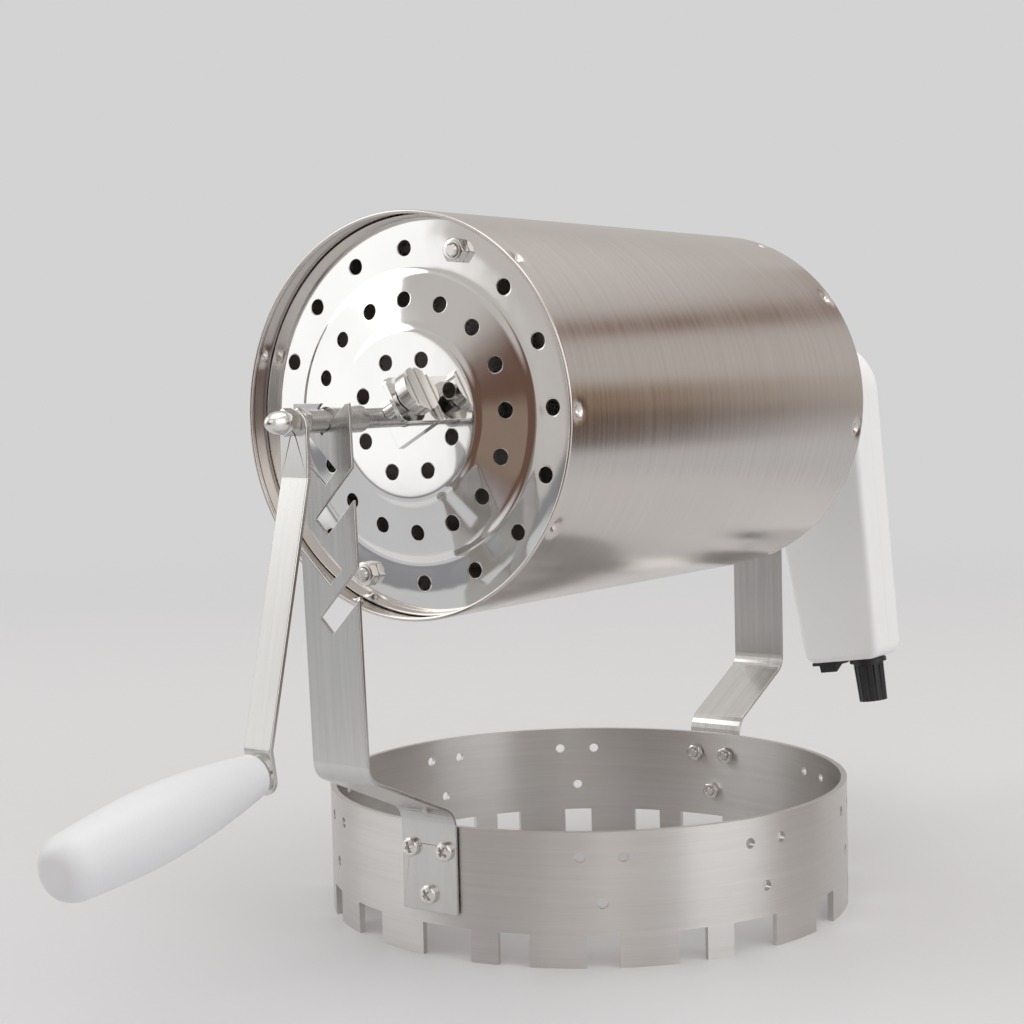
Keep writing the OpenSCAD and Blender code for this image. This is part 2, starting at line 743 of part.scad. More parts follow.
// The rounded outer end, a quarter of an ellipse from the side to the plug's bore
end_steps = 8;
function end_point(a) = [plug_r + (grip_far_d / 2 - plug_r) * cos(a), grip_l - end_round * (1 - sin(a))];
grip_points = concat(
    [[spindle_d / 2 + running, 0]],
    arc([swell(0) - neck_round, neck_round], neck_round, -90, -10, 6),
    [for (i = [1:swell_n - 1]) side_point(i / swell_n)],
    [for (i = [0:end_steps]) end_point(90 * i / end_steps)],
    [[plug_r, grip_l - head_deep], [spindle_d / 2 + running, grip_l - head_deep]]
);
module grip() {
    color("#f1f0ee") on_grip() translate([0, -grip_from, 0]) rotate([90, 0, 0])
        rotate_extrude($fn = 96) polygon(grip_points);
}
module grip_plug() {
    color("#efeeec") on_grip() rod_y(plug_r - fit, -grip_from - grip_l, -grip_from - grip_l + plug_h);
}
rivet_proud = 0.3;
module grip_spindle() {
    head_at = -grip_from - grip_l + head_deep - face_gap;
    color("#a8a7a3") on_grip() {
        rod_y(spindle_d / 2, head_at - over, rivet_proud);
        rod_y(head_d / 2, head_at - head_h, head_at);
    }
}
module grip_washer() {
    color("#c4c2bd") on_grip() tube_y(washer_d / 2, spindle_d / 2 + fit, -arm_t - washer_t, -arm_t);
}

// Drive unit: everything in it leans with the housing
module on_drive() {
    on_axis() rotate([0, -drive_lean, 0]) children();
}
output_from = shaft_rear + 2 * face_gap;
barrel_step = 0.4;
gearbox_y = barrel_y + shell_t;
gearbox_d = 2 * (barrel_r - barrel_step - shell_t - motor_gap);
module drive_coupling() {
    from = leg_out_y + coupling_gap;
    color("#8f8e8b") on_axis() difference() {
        tube_y(coupling_d / 2, shaft_r + fit, from, from + coupling_l);
        for (share = coupling_screw_shares)
            translate([0, from + coupling_l * share, 0]) grub_hole(coupling_d);
    }
}
coupling_screw_shares = [0.25, 0.75];
module coupling_screws() {
    color("#4d4c4a") on_axis() for (share = coupling_screw_shares)
        translate([0, leg_out_y + coupling_gap + coupling_l * share, 0]) grub_screw(coupling_d);
}
module output_shaft() {
    color("#9b9a97") on_axis() rod_y(shaft_r, output_from, gearbox_y + gearbox_l / 2);
}

// Reaction plate and pins: the pins straddle the rear leg and stop the housing from turning
pin_r = 2.5;
pin_x = (leg_w / 2 + pin_r + seat_gap + pin_drop * sin(drive_lean)) / cos(drive_lean);
ear_margin = 2;
screw_circle_share = 0.38;
screw_circle_r = gearbox_d * screw_circle_share;
gear_screw_at = [45, 135, 225, 315];
module reaction_plate() {
    ear_w = 2 * (pin_x + pin_r + ear_margin);
    ear_h = 2 * (pin_r + ear_margin);
    color("#c3c2be") on_drive() difference() {
        sheet_y(barrel_y - fork_t, barrel_y) union() {
            circle(r = barrel_r - ear_margin, $fn = 64);
            translate([-barrel_r + ear_margin, -pin_drop]) square([2 * (barrel_r - ear_margin), pin_drop]);
            translate([-ear_w / 2, -pin_drop - ear_h / 2]) square([ear_w, ear_h]);
        }
        rod_y(coupling_d / 2 + over, barrel_y - fork_t - over, barrel_y + over);
        for (a = gear_screw_at) rotate([0, -a, 0]) translate([screw_circle_r, 0, 0])
            rod_y(m3_d / 2 + fit, barrel_y - fork_t - over, barrel_y + over);
        at_pins() rod_y(pin_r * pin_neck_share + fit, barrel_y - fork_t - over, barrel_y + over);
    }
}
pin_neck_share = 0.6;
module at_pins() {
    for (s = [-1, 1]) translate([s * pin_x, 0, -pin_drop]) children();
}
module reaction_pins() {
    color("#a5a4a0") on_drive() at_pins() {
        rod_y(pin_r, rear_leg_y - over, barrel_y - fork_t);
        rod_y(pin_r * pin_neck_share, barrel_y - fork_t - over, barrel_y + over);
    }
}

// Gear motor in the barrel
motor_l = drive_back_y - shell_t - face_gap - gearbox_y - gearbox_l;
motor_share = 0.96;
motor_d = gearbox_d * motor_share;
screw_in = 5;
module gearbox() {
    color("#8e8d8a") on_drive() difference() {
        rod_y(gearbox_d / 2, gearbox_y, gearbox_y + gearbox_l);
        rod_y(shaft_r + running, gearbox_y - over, gearbox_y + gearbox_l / 2 + seat_gap);
        for (a = gear_screw_at) rotate([0, -a, 0]) translate([screw_circle_r, 0, 0])
            rod_y(m3_d / 2 + fit, gearbox_y - over, gearbox_y + screw_in + face_gap);
    }
}
module gearbox_screws() {
    color("#c9c7c2") on_drive() for (a = gear_screw_at) rotate([0, -a, 0]) translate([screw_circle_r, 0, 0])
        difference() {
            union() {
                rod_y(m3_head_d / 2, barrel_y - fork_t - m3_head_h, barrel_y - fork_t);
                rod_y(m3_d / 2, barrel_y - fork_t - m3_head_h / 2, gearbox_y + screw_in);
            }
            cross_cut(barrel_y - fork_t - m3_head_h);
        }
}
module motor_can() {
    color("#a3a29f") on_drive() rod_y(motor_d / 2, gearbox_y + gearbox_l, gearbox_y + gearbox_l + motor_l);
}

// Housing outline: a round top tapering to a narrower lower end with round corners
corner_r = 5;
low_x = drive_w / 2 - corner_r;
low_z = drive_drop - corner_r;
taper = asin((barrel_r - corner_r) / norm([low_x, low_z])) - atan2(low_x, low_z);
function housing_outline(inset) = concat(
    arc([0, 0], barrel_r - inset, -taper, 180 + taper, 28),
    arc([-low_x, -low_z], corner_r - inset, 180 + taper, 270, 6),
    arc([low_x, -low_z], corner_r - inset, 270, 360 - taper, 6)
);
edge_round = 3;
edge_steps = 3;
// Insets of the rounded edge's layers, from the face inwards
function edge_inset(i) = edge_round * (1 - sin(acos(1 - (i + 0.5) / edge_steps)));
// Solid body of the housing between two planes, with its edge rounded at the face named by side
module housing_block(from, to, side) {
    layer = edge_round / edge_steps;
    core_from = side < 0 ? from + edge_round : from;
    core_to = side > 0 ? to - edge_round : to;
    sheet_y(core_from, core_to) polygon(housing_outline(0));
    for (i = [0:edge_steps - 1]) {
        at = side < 0 ? from + i * layer : to - (i + 1) * layer;
        sheet_y(at, at + layer) polygon(housing_outline(edge_inset(i)));
    }
}
boss_r = 3;
boss_shares = [[-0.456, -0.268], [0.456, -0.268], [-0.353, -0.836], [0.353, -0.836]];
function boss_at(i) = [boss_shares[i][0] * drive_w, boss_shares[i][1] * drive_drop];
shell_bore = 1.25;
module at_bosses() {
    for (i = [0:len(boss_shares) - 1]) translate([boss_at(i)[0], 0, boss_at(i)[1]]) children();
}
knob_share = 0.19;
switch_share = -0.275;
knob_x = drive_w * knob_share;
switch_x = drive_w * switch_share;
bush_d = 9;
module low_openings() {
    translate([knob_x, split_y, -drive_drop - over]) cylinder(d = bush_d + 2 * fit, h = shell_t + 2 * over);
    translate([switch_x - body_w / 2 - fit, split_y - body_l / 2 - fit, -drive_drop - over])
        cube([body_w + 2 * fit, body_l + 2 * fit, corner_r + 2 * over]);
}
module drive_front_shell() {
    color("#f0f1f2") on_drive() difference() {
        union() {
            rod_y(barrel_r - barrel_step, barrel_y, split_y);
            housing_block(handle_y, split_y, -1);
        }
        difference() {
            union() {
                rod_y(barrel_r - barrel_step - shell_t, barrel_y + shell_t, split_y + over);
                sheet_y(handle_y + shell_t, split_y + over) polygon(housing_outline(shell_t));
            }
            at_bosses() rod_y(boss_r, handle_y, split_y);
        }
        rod_y(coupling_d / 2 + over, barrel_y - over, barrel_y + shell_t + over);
        for (a = gear_screw_at) rotate([0, -a, 0]) translate([screw_circle_r, 0, 0])
            rod_y(m3_d / 2 + lay, barrel_y - over, barrel_y + shell_t + over);
        at_pins() rod_y(pin_r, barrel_y - over, barrel_y + 2 * over);
        at_bosses() rod_y(shell_bore, handle_y + shell_t, split_y + over);
        low_openings();
    }
}
module drive_rear_shell() {
    sink = m3_head_h + face_gap;
    color("#eeeff0") on_drive() difference() {
        housing_block(split_y, drive_back_y, 1);
        difference() {
            sheet_y(split_y - over, drive_back_y - shell_t) polygon(housing_outline(shell_t));
            at_bosses() rod_y(boss_r + shell_t / 2, split_y, drive_back_y);
        }
        at_bosses() {
            rod_y(shell_bore + fit, split_y - over, drive_back_y + over);
            rod_y(m3_head_d / 2, drive_back_y - sink, drive_back_y + over);
        }
        low_openings();
    }
}
module shell_screws() {
    sink = m3_head_h + face_gap;
    color("#7b7a77") on_drive() at_bosses() difference() {
        union() {
            rod_y(m3_head_d / 2 - lay, drive_back_y - sink, drive_back_y - face_gap);
            rod_y(shell_bore - fit, split_y - screw_in, drive_back_y - sink + over);
        }
        cross_cut(drive_back_y - face_gap);
    }
}

// Cells and control board in the handle
cell_top = 36;
board_t = 1.6;
board_share = [1.8, 0.9];
board_y = handle_y + shell_t + seat_gap;
cell_y = board_y + board_t + seat_gap + cell_d / 2;
module battery_cells() {
    color("#3f6fa8") on_drive() for (s = [-1, 1])
        translate([s * (cell_d + lay) / 2, cell_y, -cell_top - cell_l]) cylinder(d = cell_d, h = cell_l);
}
module control_board() {
    w = cell_d * board_share[0];
    h = cell_l * board_share[1];
    color("#2f6b3c") on_drive() translate([-w / 2, board_y, -cell_top - h]) cube([w, board_t, h]);
}

// Speed potentiometer, its spindle and the knob, square to the housing's underside
pot_w = 12;
pot_h = 8;
knob_gap = 0.4;
pot_d = 6;
spindle_in = 7;
spindle_share = 0.75;
flute_n = 14;
flute_r = 0.8;
knob_flange_d = 15;
knob_flange_h = 1.6;
module on_knob() {
    on_drive() translate([knob_x, split_y, -drive_drop]) children();
}
module speed_pot() {
    color("#5c6a78") on_knob() difference() {
        union() {
            translate([-pot_w / 2, -pot_w / 2, shell_t + lay]) cube([pot_w, pot_w, pot_h]);
            cylinder(d = bush_d, h = shell_t + 2 * lay);
        }
        translate([0, 0, -over]) cylinder(d = pot_d + 2 * running, h = over + spindle_in + face_gap);
    }
}
module pot_spindle() {
    color("#9e9d99") on_knob() translate([0, 0, -knob_h * spindle_share])
        cylinder(d = pot_d, h = knob_h * spindle_share + spindle_in);
}
module speed_knob() {
    taper_share = 0.92;
    color("#1d1d1e") on_knob() translate([0, 0, -knob_gap]) difference() {
        union() {
            translate([0, 0, -knob_flange_h]) cylinder(d = knob_flange_d, h = knob_flange_h);
            translate([0, 0, -knob_h])
                cylinder(d1 = knob_d * taper_share, d2 = knob_d, h = knob_h - knob_flange_h / 2);
        }
        translate([0, 0, knob_gap - knob_h * spindle_share - face_gap])
            cylinder(d = pot_d + 2 * fit, h = knob_h);
        for (i = [0:flute_n - 1]) rotate([0, 0, i * 360 / flute_n])
            translate([knob_d / 2, 0, -knob_h - over]) cylinder(r = flute_r, h = knob_h - knob_flange_h);
    }
}

// Rocker switch: a body clipped in the underside, and a rocker that tips about X
body_w = switch_w - 1;
body_l = 14.6;
body_h = 11;
bezel_l = 16.4;
bezel_t = 1.4;
pocket_w = body_w - 2.4;
pocket_l = 14;
pocket_deep = 5;
rocker_w = pocket_w - 2 * face_gap;
rocker_half = 6;
rocker_tip = 12;
rocker_mid = 1.7;
rocker_back = 2;
pivot_r = 1;
pivot_l = 0.8;
pivot_z = -0.4;
module on_switch() {
    on_drive() translate([switch_x, split_y, -drive_drop]) children();
}
module switch_body() {
    color("#232324") on_switch() difference() {
        union() {
            translate([-switch_w / 2, -bezel_l / 2, -bezel_t]) cube([switch_w, bezel_l, bezel_t - lay]);
            translate([-body_w / 2, -body_l / 2, -bezel_t / 2])
                cube([body_w, body_l, body_h + bezel_t / 2]);
        }
        translate([-pocket_w / 2, -pocket_l / 2, -bezel_t - over])
            cube([pocket_w, pocket_l, pocket_deep + bezel_t + over]);
        translate([-pocket_w / 2 - pivot_l - fit, 0, pivot_z]) rotate([0, 90, 0])
            cylinder(r = pivot_r + running, h = pocket_w + 2 * (pivot_l + fit));
    }
}
module switch_rocker() {
    rise = rocker_half * tan(rocker_tip);
    color("#161617") on_switch() translate([0, 0, pivot_z]) rotate([rocker_tip, 0, 0]) {
        sheet_x(rocker_w) polygon([
            [-rocker_half, rocker_back], [-rocker_half, -rocker_mid - rise], [0, -rocker_mid],
            [rocker_half, -rocker_mid - rise], [rocker_half, rocker_back]
        ]);
        translate([-rocker_w / 2 - pivot_l, 0, 0]) rotate([0, 90, 0])
            cylinder(r = pivot_r, h = rocker_w + 2 * pivot_l);
    }
}

base_ring();
front_leg();
rear_leg();
leg_screws();
leg_nuts();
drum_sleeve();
front_plate();
rear_plate();
tie_rods();
tie_rod_nuts();
stirring_vane_a();
stirring_vane_b();
shaft();
front_collar();
rear_collar();
collar_screws();
rear_hub();
hub_rivets();
lock_bracket();
thumb_screw();
crank_arm();
arm_spacer();
arm_lock_nut();
dome_nut();
grip();
grip_plug();
grip_spindle();
grip_washer();
drive_coupling();
coupling_screws();
output_shaft();
reaction_plate();
reaction_pins();
gearbox();
gearbox_screws();
motor_can();
drive_front_shell();
drive_rear_shell();
shell_screws();
battery_cells();
control_board();
speed_pot();
pot_spindle();
speed_knob();
switch_body();
switch_rocker();
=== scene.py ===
# %% [markdown]
# # A stovetop coffee bean roaster
# A steel drum with holes in its ends lies over a burner, on a ring with two legs. A crank turns it by
# hand, and a small drive unit can turn it instead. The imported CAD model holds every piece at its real
# size and place. This script gives the pieces their finishes, models again the ones whose surface
# shows most, and sets a camera and a plain light round them.
#
# The frame comes first: it is the CAD model in metres, and the new pieces take their places from it.

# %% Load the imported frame
import json
import math

import bmesh
import bpy
import numpy as np
from mathutils import Matrix, Vector
from mathutils.geometry import tessellate_polygon


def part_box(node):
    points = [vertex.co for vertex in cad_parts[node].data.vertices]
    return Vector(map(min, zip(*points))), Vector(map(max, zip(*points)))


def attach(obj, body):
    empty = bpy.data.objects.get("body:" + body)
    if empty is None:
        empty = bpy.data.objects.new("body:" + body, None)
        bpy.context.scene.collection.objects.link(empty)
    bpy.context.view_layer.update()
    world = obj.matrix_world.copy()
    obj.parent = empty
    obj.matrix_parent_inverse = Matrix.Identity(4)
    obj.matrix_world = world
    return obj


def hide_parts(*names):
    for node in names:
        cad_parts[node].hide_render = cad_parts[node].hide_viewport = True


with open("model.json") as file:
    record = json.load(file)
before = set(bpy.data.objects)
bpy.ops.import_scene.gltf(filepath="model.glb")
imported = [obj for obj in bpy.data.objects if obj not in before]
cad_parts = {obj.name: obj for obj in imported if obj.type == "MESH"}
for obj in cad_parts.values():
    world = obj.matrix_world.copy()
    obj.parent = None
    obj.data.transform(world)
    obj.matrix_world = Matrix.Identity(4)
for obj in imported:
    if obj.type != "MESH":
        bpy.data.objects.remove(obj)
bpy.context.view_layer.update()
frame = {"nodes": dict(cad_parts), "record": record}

MM = 0.001
nodes, record = frame["nodes"], frame["record"]

# %% [markdown]
# ## The camera
# The photograph was taken from the right of the crank, a little above the drum's middle. The circles
# of holes and the rims of drum and ring gave the place and the lens: a long lens, turned 36 degrees
# from the drum's axis, looking down by less than 4 and rolled by a little over 1. A tracking
# constraint can aim a camera but not roll it, so the matrix is built from the three angles.

# %% Camera
CAMERA_AT = Vector((0.3758, -0.5676, 0.1808))
YAW, PITCH, ROLL = (math.radians(a) for a in (36.03, 3.62, -1.35))
PHOTO_PX = 1024
FOCAL_PX = 1975.8
CENTRE_PX = (494.7, 500.7)
SENSOR_MM = 36


def link_new(name, data):
    """A new object for this data, linked to the scene."""
    obj = bpy.data.objects.new(name, data)
    bpy.context.scene.collection.objects.link(obj)
    return obj


forward = Vector((-math.sin(YAW) * math.cos(PITCH), math.cos(YAW) * math.cos(PITCH), -math.sin(PITCH)))
level = Vector((math.cos(YAW), math.sin(YAW), 0))
upright = level.cross(forward)
right = math.cos(ROLL) * level + math.sin(ROLL) * upright
up = -math.sin(ROLL) * level + math.cos(ROLL) * upright

camera = link_new("camera", bpy.data.cameras.new("camera"))
camera.data.lens = FOCAL_PX * SENSOR_MM / PHOTO_PX
camera.data.sensor_width = SENSOR_MM
camera.data.shift_x = (PHOTO_PX / 2 - CENTRE_PX[0]) / PHOTO_PX
camera.data.shift_y = (CENTRE_PX[1] - PHOTO_PX / 2) / PHOTO_PX
camera.matrix_world = Matrix.Translation(CAMERA_AT) @ Matrix((right, up, -forward)).transposed().to_4x4()
bpy.context.scene.camera = camera
print("lens", round(camera.data.lens, 2), "mm")
print("shift", round(camera.data.shift_x, 4), round(camera.data.shift_y, 4))

# %% [markdown]
# ## Shader maths as Python
# A material is a small program. Written as nodes and links it is hard to read, so one class wraps an
# output socket and overloads the operators: an expression such as `1 - mask * 0.3` adds its own Math
# nodes. Every other node comes from one method, which sets the node's settings before its inputs.

# %% Wires
class Wire:
    """An output socket. Arithmetic on it adds Math nodes to its graph."""

    def __init__(self, graph, socket):
        self.graph = graph
        self.socket = socket

    def maths(self, operation, *terms):
        """The Math node of that operation on these terms, wires or numbers, or on this wire alone."""
        return self.graph.add("ShaderNodeMath", {"operation": operation}, dict(enumerate(terms or (self,))))

    def __add__(self, other):
        return self.maths("ADD", self, other)

    __radd__ = __add__

    def __sub__(self, other):
        return self.maths("SUBTRACT", self, other)

    def __rsub__(self, other):
        return self.maths("SUBTRACT", other, self)

    def __mul__(self, other):
        return self.maths("MULTIPLY", self, other)

    __rmul__ = __mul__

    def step(self, low, high):
        """0 below low, 1 above high, and a smooth rise between them."""
        return self.graph.add(
            "ShaderNodeMapRange",
            {"interpolation_type": "SMOOTHSTEP"},
            {"Value": self, "From Min": low, "From Max": high},
        )


# %% Graphs
class Graph:
    """A node tree in the making."""

    def __init__(self, tree):
        self.tree = tree
        tree.nodes.clear()

    def add(self, kind, settings=None, values=None, out=0):
        """Makes a node of this kind: its settings, then its sockets' values or links. Returns one output."""
        node = self.tree.nodes.new(kind)
        for name, setting in (settings or {}).items():
            setattr(node, name, setting)
        for name, value in (values or {}).items():
            if isinstance(value, Wire):
                self.tree.links.new(value.socket, node.inputs[name])
            else:
                node.inputs[name].default_value = value
        return Wire(self, node.outputs[out]) if len(node.outputs) else node

    def mix(self, factor, a, b):
        """A colour from a to b."""
        a, b = (colour if isinstance(colour, Wire) else rgba(colour) for colour in (a, b))
        settings = {"data_type": "RGBA", "clamp_factor": True}
        return self.add("ShaderNodeMix", settings, {0: factor, 6: a, 7: b}, out=2)

    def place(self):
        """The point's own place on the piece, in metres in the shared frame."""
        return self.add("ShaderNodeTexCoord", out="Object")

    def noise(self, at, per_metre, detail=2.0, rough=0.5):
        """Noise from 0 to 1 with so many blotches to the metre along X, Y and Z."""
        scaled = self.add("ShaderNodeVectorMath", {"operation": "MULTIPLY"}, {0: at, 1: per_metre})
        values = {"Vector": scaled, "Scale": 1.0, "Detail": detail, "Roughness": rough}
        return self.add("ShaderNodeTexNoise", {}, values)

    def bump(self, height, depth):
        """A Normal bent by a relief: a height from 0 to 1 stands for so many millimetres."""
        return self.add("ShaderNodeBump", {}, {"Height": height, "Strength": 1.0, "Distance": depth * MM})


def rgba(colour):
    """A colour with its alpha; one number gives a grey."""
    if isinstance(colour, (int, float)):
        return (colour,) * 3 + (1.0,)
    return tuple(colour) + (1.0,) * (4 - len(colour))


def finish_of(name, shade):
    """A new material whose surface is what shade(graph) returns."""
    material = bpy.data.materials.new(name)
    material.use_nodes = True
    graph = Graph(material.node_tree)
    graph.add("ShaderNodeOutputMaterial", {}, {"Surface": shade(graph)})
    return material


print("shader maths ready")

# %% [markdown]
# ## The room
# Steel shows little colour of its own: it shows the room. The photograph's reflections tell of a room
# that is bright to the left and the right, and brown behind the camera and at the back right. A
# picture of a room could stand in for it, but a few panels are enough and can be moved one by one.
# Each is a rectangle of azimuth and elevation with soft edges, and azimuth runs from +Y towards +X.
# The camera itself sees a plain pale grey in place of the panels.

# %% World
BACKDROP = (0.65, 0.65, 0.655)
ROOM, TABLE = (0.57, 0.54, 0.515), (0.60, 0.60, 0.61)
HORIZON = (-8, -4)
PANELS = [
    # azimuth, elevation, half width, half height, soft edge, colour
    (-118, -6, 40, 1, 2, (0.27, 0.27, 0.285)),
    (-118, 5.5, 24, 8, 3, (1.18, 1.18, 1.18)),
    (174, -4, 24, 12, 10, (0.15, 0.085, 0.065)),
    (-163, -5, 2, 4, 4, (0.27, 0.20, 0.155)),
    (88, 4, 12, 26, 14, (0.95, 0.95, 0.97)),
    (42, 1.5, 11, 4, 5, (0.25, 0.16, 0.095)),
    (44, -6.5, 14, 4, 4, (0.12, 0.078, 0.055)),
    (22, 24.5, 30, 0.8, 2.4, (0.20, 0.11, 0.08)),
    (0, 90, 180, 52, 14, (0.74, 0.72, 0.70)),
]
bpy.context.scene.view_settings.view_transform = "Standard"


def panel(azimuth, elevation, at, half, soft):
    """1 on a panel and 0 past its soft edge: the product of one step across and one up."""
    across = azimuth.maths("WRAP", azimuth - at[0], 180, -180).maths("ABSOLUTE")
    upwards = (elevation - at[1]).maths("ABSOLUTE")
    return (1 - across.step(half[0], half[0] + soft)) * (1 - upwards.step(half[1], half[1] + soft))


def build_world():
    """A pale backdrop for the camera and a room of soft panels for everything that is lit or mirrors."""
    world = bpy.data.worlds.new("room")
    world.use_nodes = True
    graph = Graph(world.node_tree)
    direction = graph.add("ShaderNodeTexCoord", out="Generated")
    split = graph.add("ShaderNodeSeparateXYZ", {}, {0: direction})
    x, y, z = (Wire(graph, output) for output in split.socket.node.outputs)
    azimuth = x.maths("ARCTAN2", x, y) * math.degrees(1)
    elevation = z.maths("ARCSINE", z) * math.degrees(1)
    room = graph.mix(elevation.step(*HORIZON), TABLE, ROOM)
    for az, el, width, height, soft, colour in PANELS:
        room = graph.mix(panel(azimuth, elevation, (az, el), (width, height), soft), room, colour)
    seen = graph.add("ShaderNodeBackground", {}, {"Color": rgba(BACKDROP)})
    felt = graph.add("ShaderNodeBackground", {}, {"Color": room})
    by_camera = graph.add("ShaderNodeLightPath", out="Is Camera Ray")
    both = graph.add("ShaderNodeMixShader", {}, {0: by_camera, 1: felt, 2: seen})
    graph.add("ShaderNodeOutputWorld", {}, {"Surface": both})
    bpy.context.scene.world = world


build_world()
print(len(PANELS), "panels in the room")

# %% [markdown]
# ## Floor and lights
# The object stands on a plain pale table that goes over into the background. A curved sheet is the
# usual way; a flat disc that turns into the backdrop's own tone with distance does the same without a
# bend in the reflections. For everything but the camera the disc ends like a table, so that the steel
# mirrors the room below the horizon. Four large soft boxes give the even light.

# %% Floor
FLOOR_R, FLOOR_SIDES = 12.0, 96
FLOOR_TONE, FLOOR_ROUGH, FLOOR_SHINE = (0.67, 0.67, 0.685), 0.45, 0.3
FLOOR_FADE, TABLE_END = (0.45, 1.5), (0.32, 0.46)


def floor_surface(graph):
    """Lit near the object; with distance the backdrop for the camera and nothing for other rays."""
    distance = graph.add("ShaderNodeVectorMath", {"operation": "LENGTH"}, {0: graph.place()}, out="Value")
    by_camera = graph.add("ShaderNodeLightPath", out="Is Camera Ray")
    values = {"Base Color": rgba(FLOOR_TONE), "Roughness": FLOOR_ROUGH, "Specular IOR Level": FLOOR_SHINE}
    lit = graph.add("ShaderNodeBsdfPrincipled", {}, values)
    far = graph.add("ShaderNodeEmission", {}, {"Color": rgba(BACKDROP)})
    clear = graph.add("ShaderNodeBsdfTransparent")
    shown = graph.add("ShaderNodeMixShader", {}, {0: distance.step(*FLOOR_FADE), 1: lit, 2: far})
    table = graph.add("ShaderNodeMixShader", {}, {0: distance.step(*TABLE_END), 1: lit, 2: clear})
    return graph.add("ShaderNodeMixShader", {}, {0: by_camera, 1: table, 2: shown})


def add_floor():
    """A disc, which is a flat polygon of many sides."""
    turns = np.linspace(0, 2 * math.pi, FLOOR_SIDES, endpoint=False)
    rim = np.column_stack([FLOOR_R * np.cos(turns), FLOOR_R * np.sin(turns), np.zeros_like(turns)])
    mesh = bpy.data.meshes.new("floor")
    mesh.from_pydata(rim.tolist(), [], [list(range(FLOOR_SIDES))])
    mesh.materials.append(finish_of("floor", floor_surface))
    floor = link_new("floor", mesh)


add_floor()
print("floor of", FLOOR_R, "m")

# %% Lights
LIGHTS = [
    # name, place, the point it faces, side, power, colour
    ("window", (-1.5, -0.9, 1.3), (0, 0, 0.12), 1.4, 9, (0.96, 0.98, 1.0)),
    ("ceiling", (0.3, 0.2, 2.2), (0, 0, 0.1), 2.0, 15, (1.0, 0.99, 0.97)),
    ("right wall", (1.6, 0.1, 0.7), (0, 0, 0.1), 1.2, 4, (1.0, 1.0, 1.0)),
    ("fill", (1.0, -1.6, 0.9), (0, 0.1, 0.12), 1.2, 2.5, (1.0, 1.0, 1.0)),
]


def add_light(name, at, towards, side, power, colour):
    """A square soft box that the camera doesn't see, facing a point."""
    lamp = bpy.data.lights.new(name, "AREA")
    lamp.size = side
    lamp.energy = power
    lamp.color = colour
    light = link_new(name, lamp)
    light.location = at
    light.rotation_euler = (Vector(towards) - Vector(at)).to_track_quat("-Z", "Y").to_euler()
    light.visible_camera = False


for values in LIGHTS:
    add_light(*values)
print(len(LIGHTS), "soft boxes")

# %% [markdown]
# ## Steel
# Every piece takes its finish by the material slot that the record names for its node. The steels
# differ in their lines and their gloss: the ring is brushed level, the legs along the strip, the
# drum round its axis, and the end plates are polished. A photograph of brushed metal would need UV
# maps on every piece. Noise stretched along one direction, in the shared frame's metres, needs none
# and stays in place whatever the mesh.

# %% Steel
CLOUDS = (22, 22, 22)
LINE_SHARE, HAIR_SHARE = 0.55, 0.45
DARK_LINE, LIGHT_LINE = 0.82, 1.12
ROUGH_SWING, QUARTER_TURN = 0.16, 0.25
LOW, HIGH, HAIR_LOW, HAIR_HIGH = 14, 560, 42, 2800
STEELS = {
    # lines and hairs to the metre along X, Y and Z,
    # then tint, roughness, depth in mm, smudges and how far reflections stretch along Z
    "brushed_sheet": ((LOW, LOW, HIGH), (HAIR_LOW, HAIR_LOW, HAIR_HIGH),
                      (0.66, 0.64, 0.62), 0.34, 0.012, 0.12, 0.85),
    "brushed_strip": ((HIGH, LOW, LOW), (HAIR_HIGH, HAIR_LOW, HAIR_LOW),
                      (0.66, 0.655, 0.64), 0.22, 0.006, 0.12, 0),
    "satin_drum": ((LOW, HIGH, LOW), (HAIR_LOW, HAIR_HIGH, HAIR_LOW),
                   (0.68, 0.64, 0.61), 0.20, 0.008, 0.12, 0),
    "polished_plate": ((30, 30, 30), (9, 9, 9), (0.84, 0.835, 0.82), 0.07, 0.12, 0.04, 0),
    "vane_sheet": ((200, 20, 200), (900, 60, 900), (0.62, 0.60, 0.575), 0.34, 0.01, 0.12, 0),
    "bright_fastener": ((300, 300, 300), (1500, 1500, 1500), (0.78, 0.765, 0.74), 0.19, 0.01, 0.12, 0),
    "turned_steel": ((60, 1500, 60), (200, 5000, 200), (0.58, 0.57, 0.55), 0.26, 0.01, 0.12, 0),
    "motor_steel": ((40, 400, 40), (300, 900, 300), (0.52, 0.52, 0.51), 0.35, 0.01, 0.12, 0),
}


def brushed(lines, hairs, tint, rough, depth, smudge, along_z):
    """Steel whose colour, roughness and relief follow the sum of coarse lines and fine hairs.

    Smudges are a cloudy part of the roughness, and along_z draws reflections out along Z, as level
    brush lines round a ring do.
    """
    def shade(graph):
        place = graph.place()
        wide = graph.noise(place, lines, detail=3.0, rough=0.6)
        thin = graph.noise(place, hairs, rough=0.7)
        cloud = graph.noise(place, CLOUDS)
        streak = wide * LINE_SHARE + thin * HAIR_SHARE
        colour = graph.mix(streak, [c * DARK_LINE for c in tint], [min(1.0, c * LIGHT_LINE) for c in tint])
        return graph.add("ShaderNodeBsdfPrincipled", {}, {
            "Base Color": colour,
            "Metallic": 1.0,
            "Roughness": rough + (streak - 0.5) * ROUGH_SWING + (cloud - 0.5) * smudge,
            "Anisotropic": along_z,
            "Anisotropic Rotation": QUARTER_TURN,
            "Normal": graph.bump(streak, depth),
        })
    return shade


finishes = {name: finish_of(name, brushed(*values)) for name, values in STEELS.items()}
print(len(finishes), "steels")

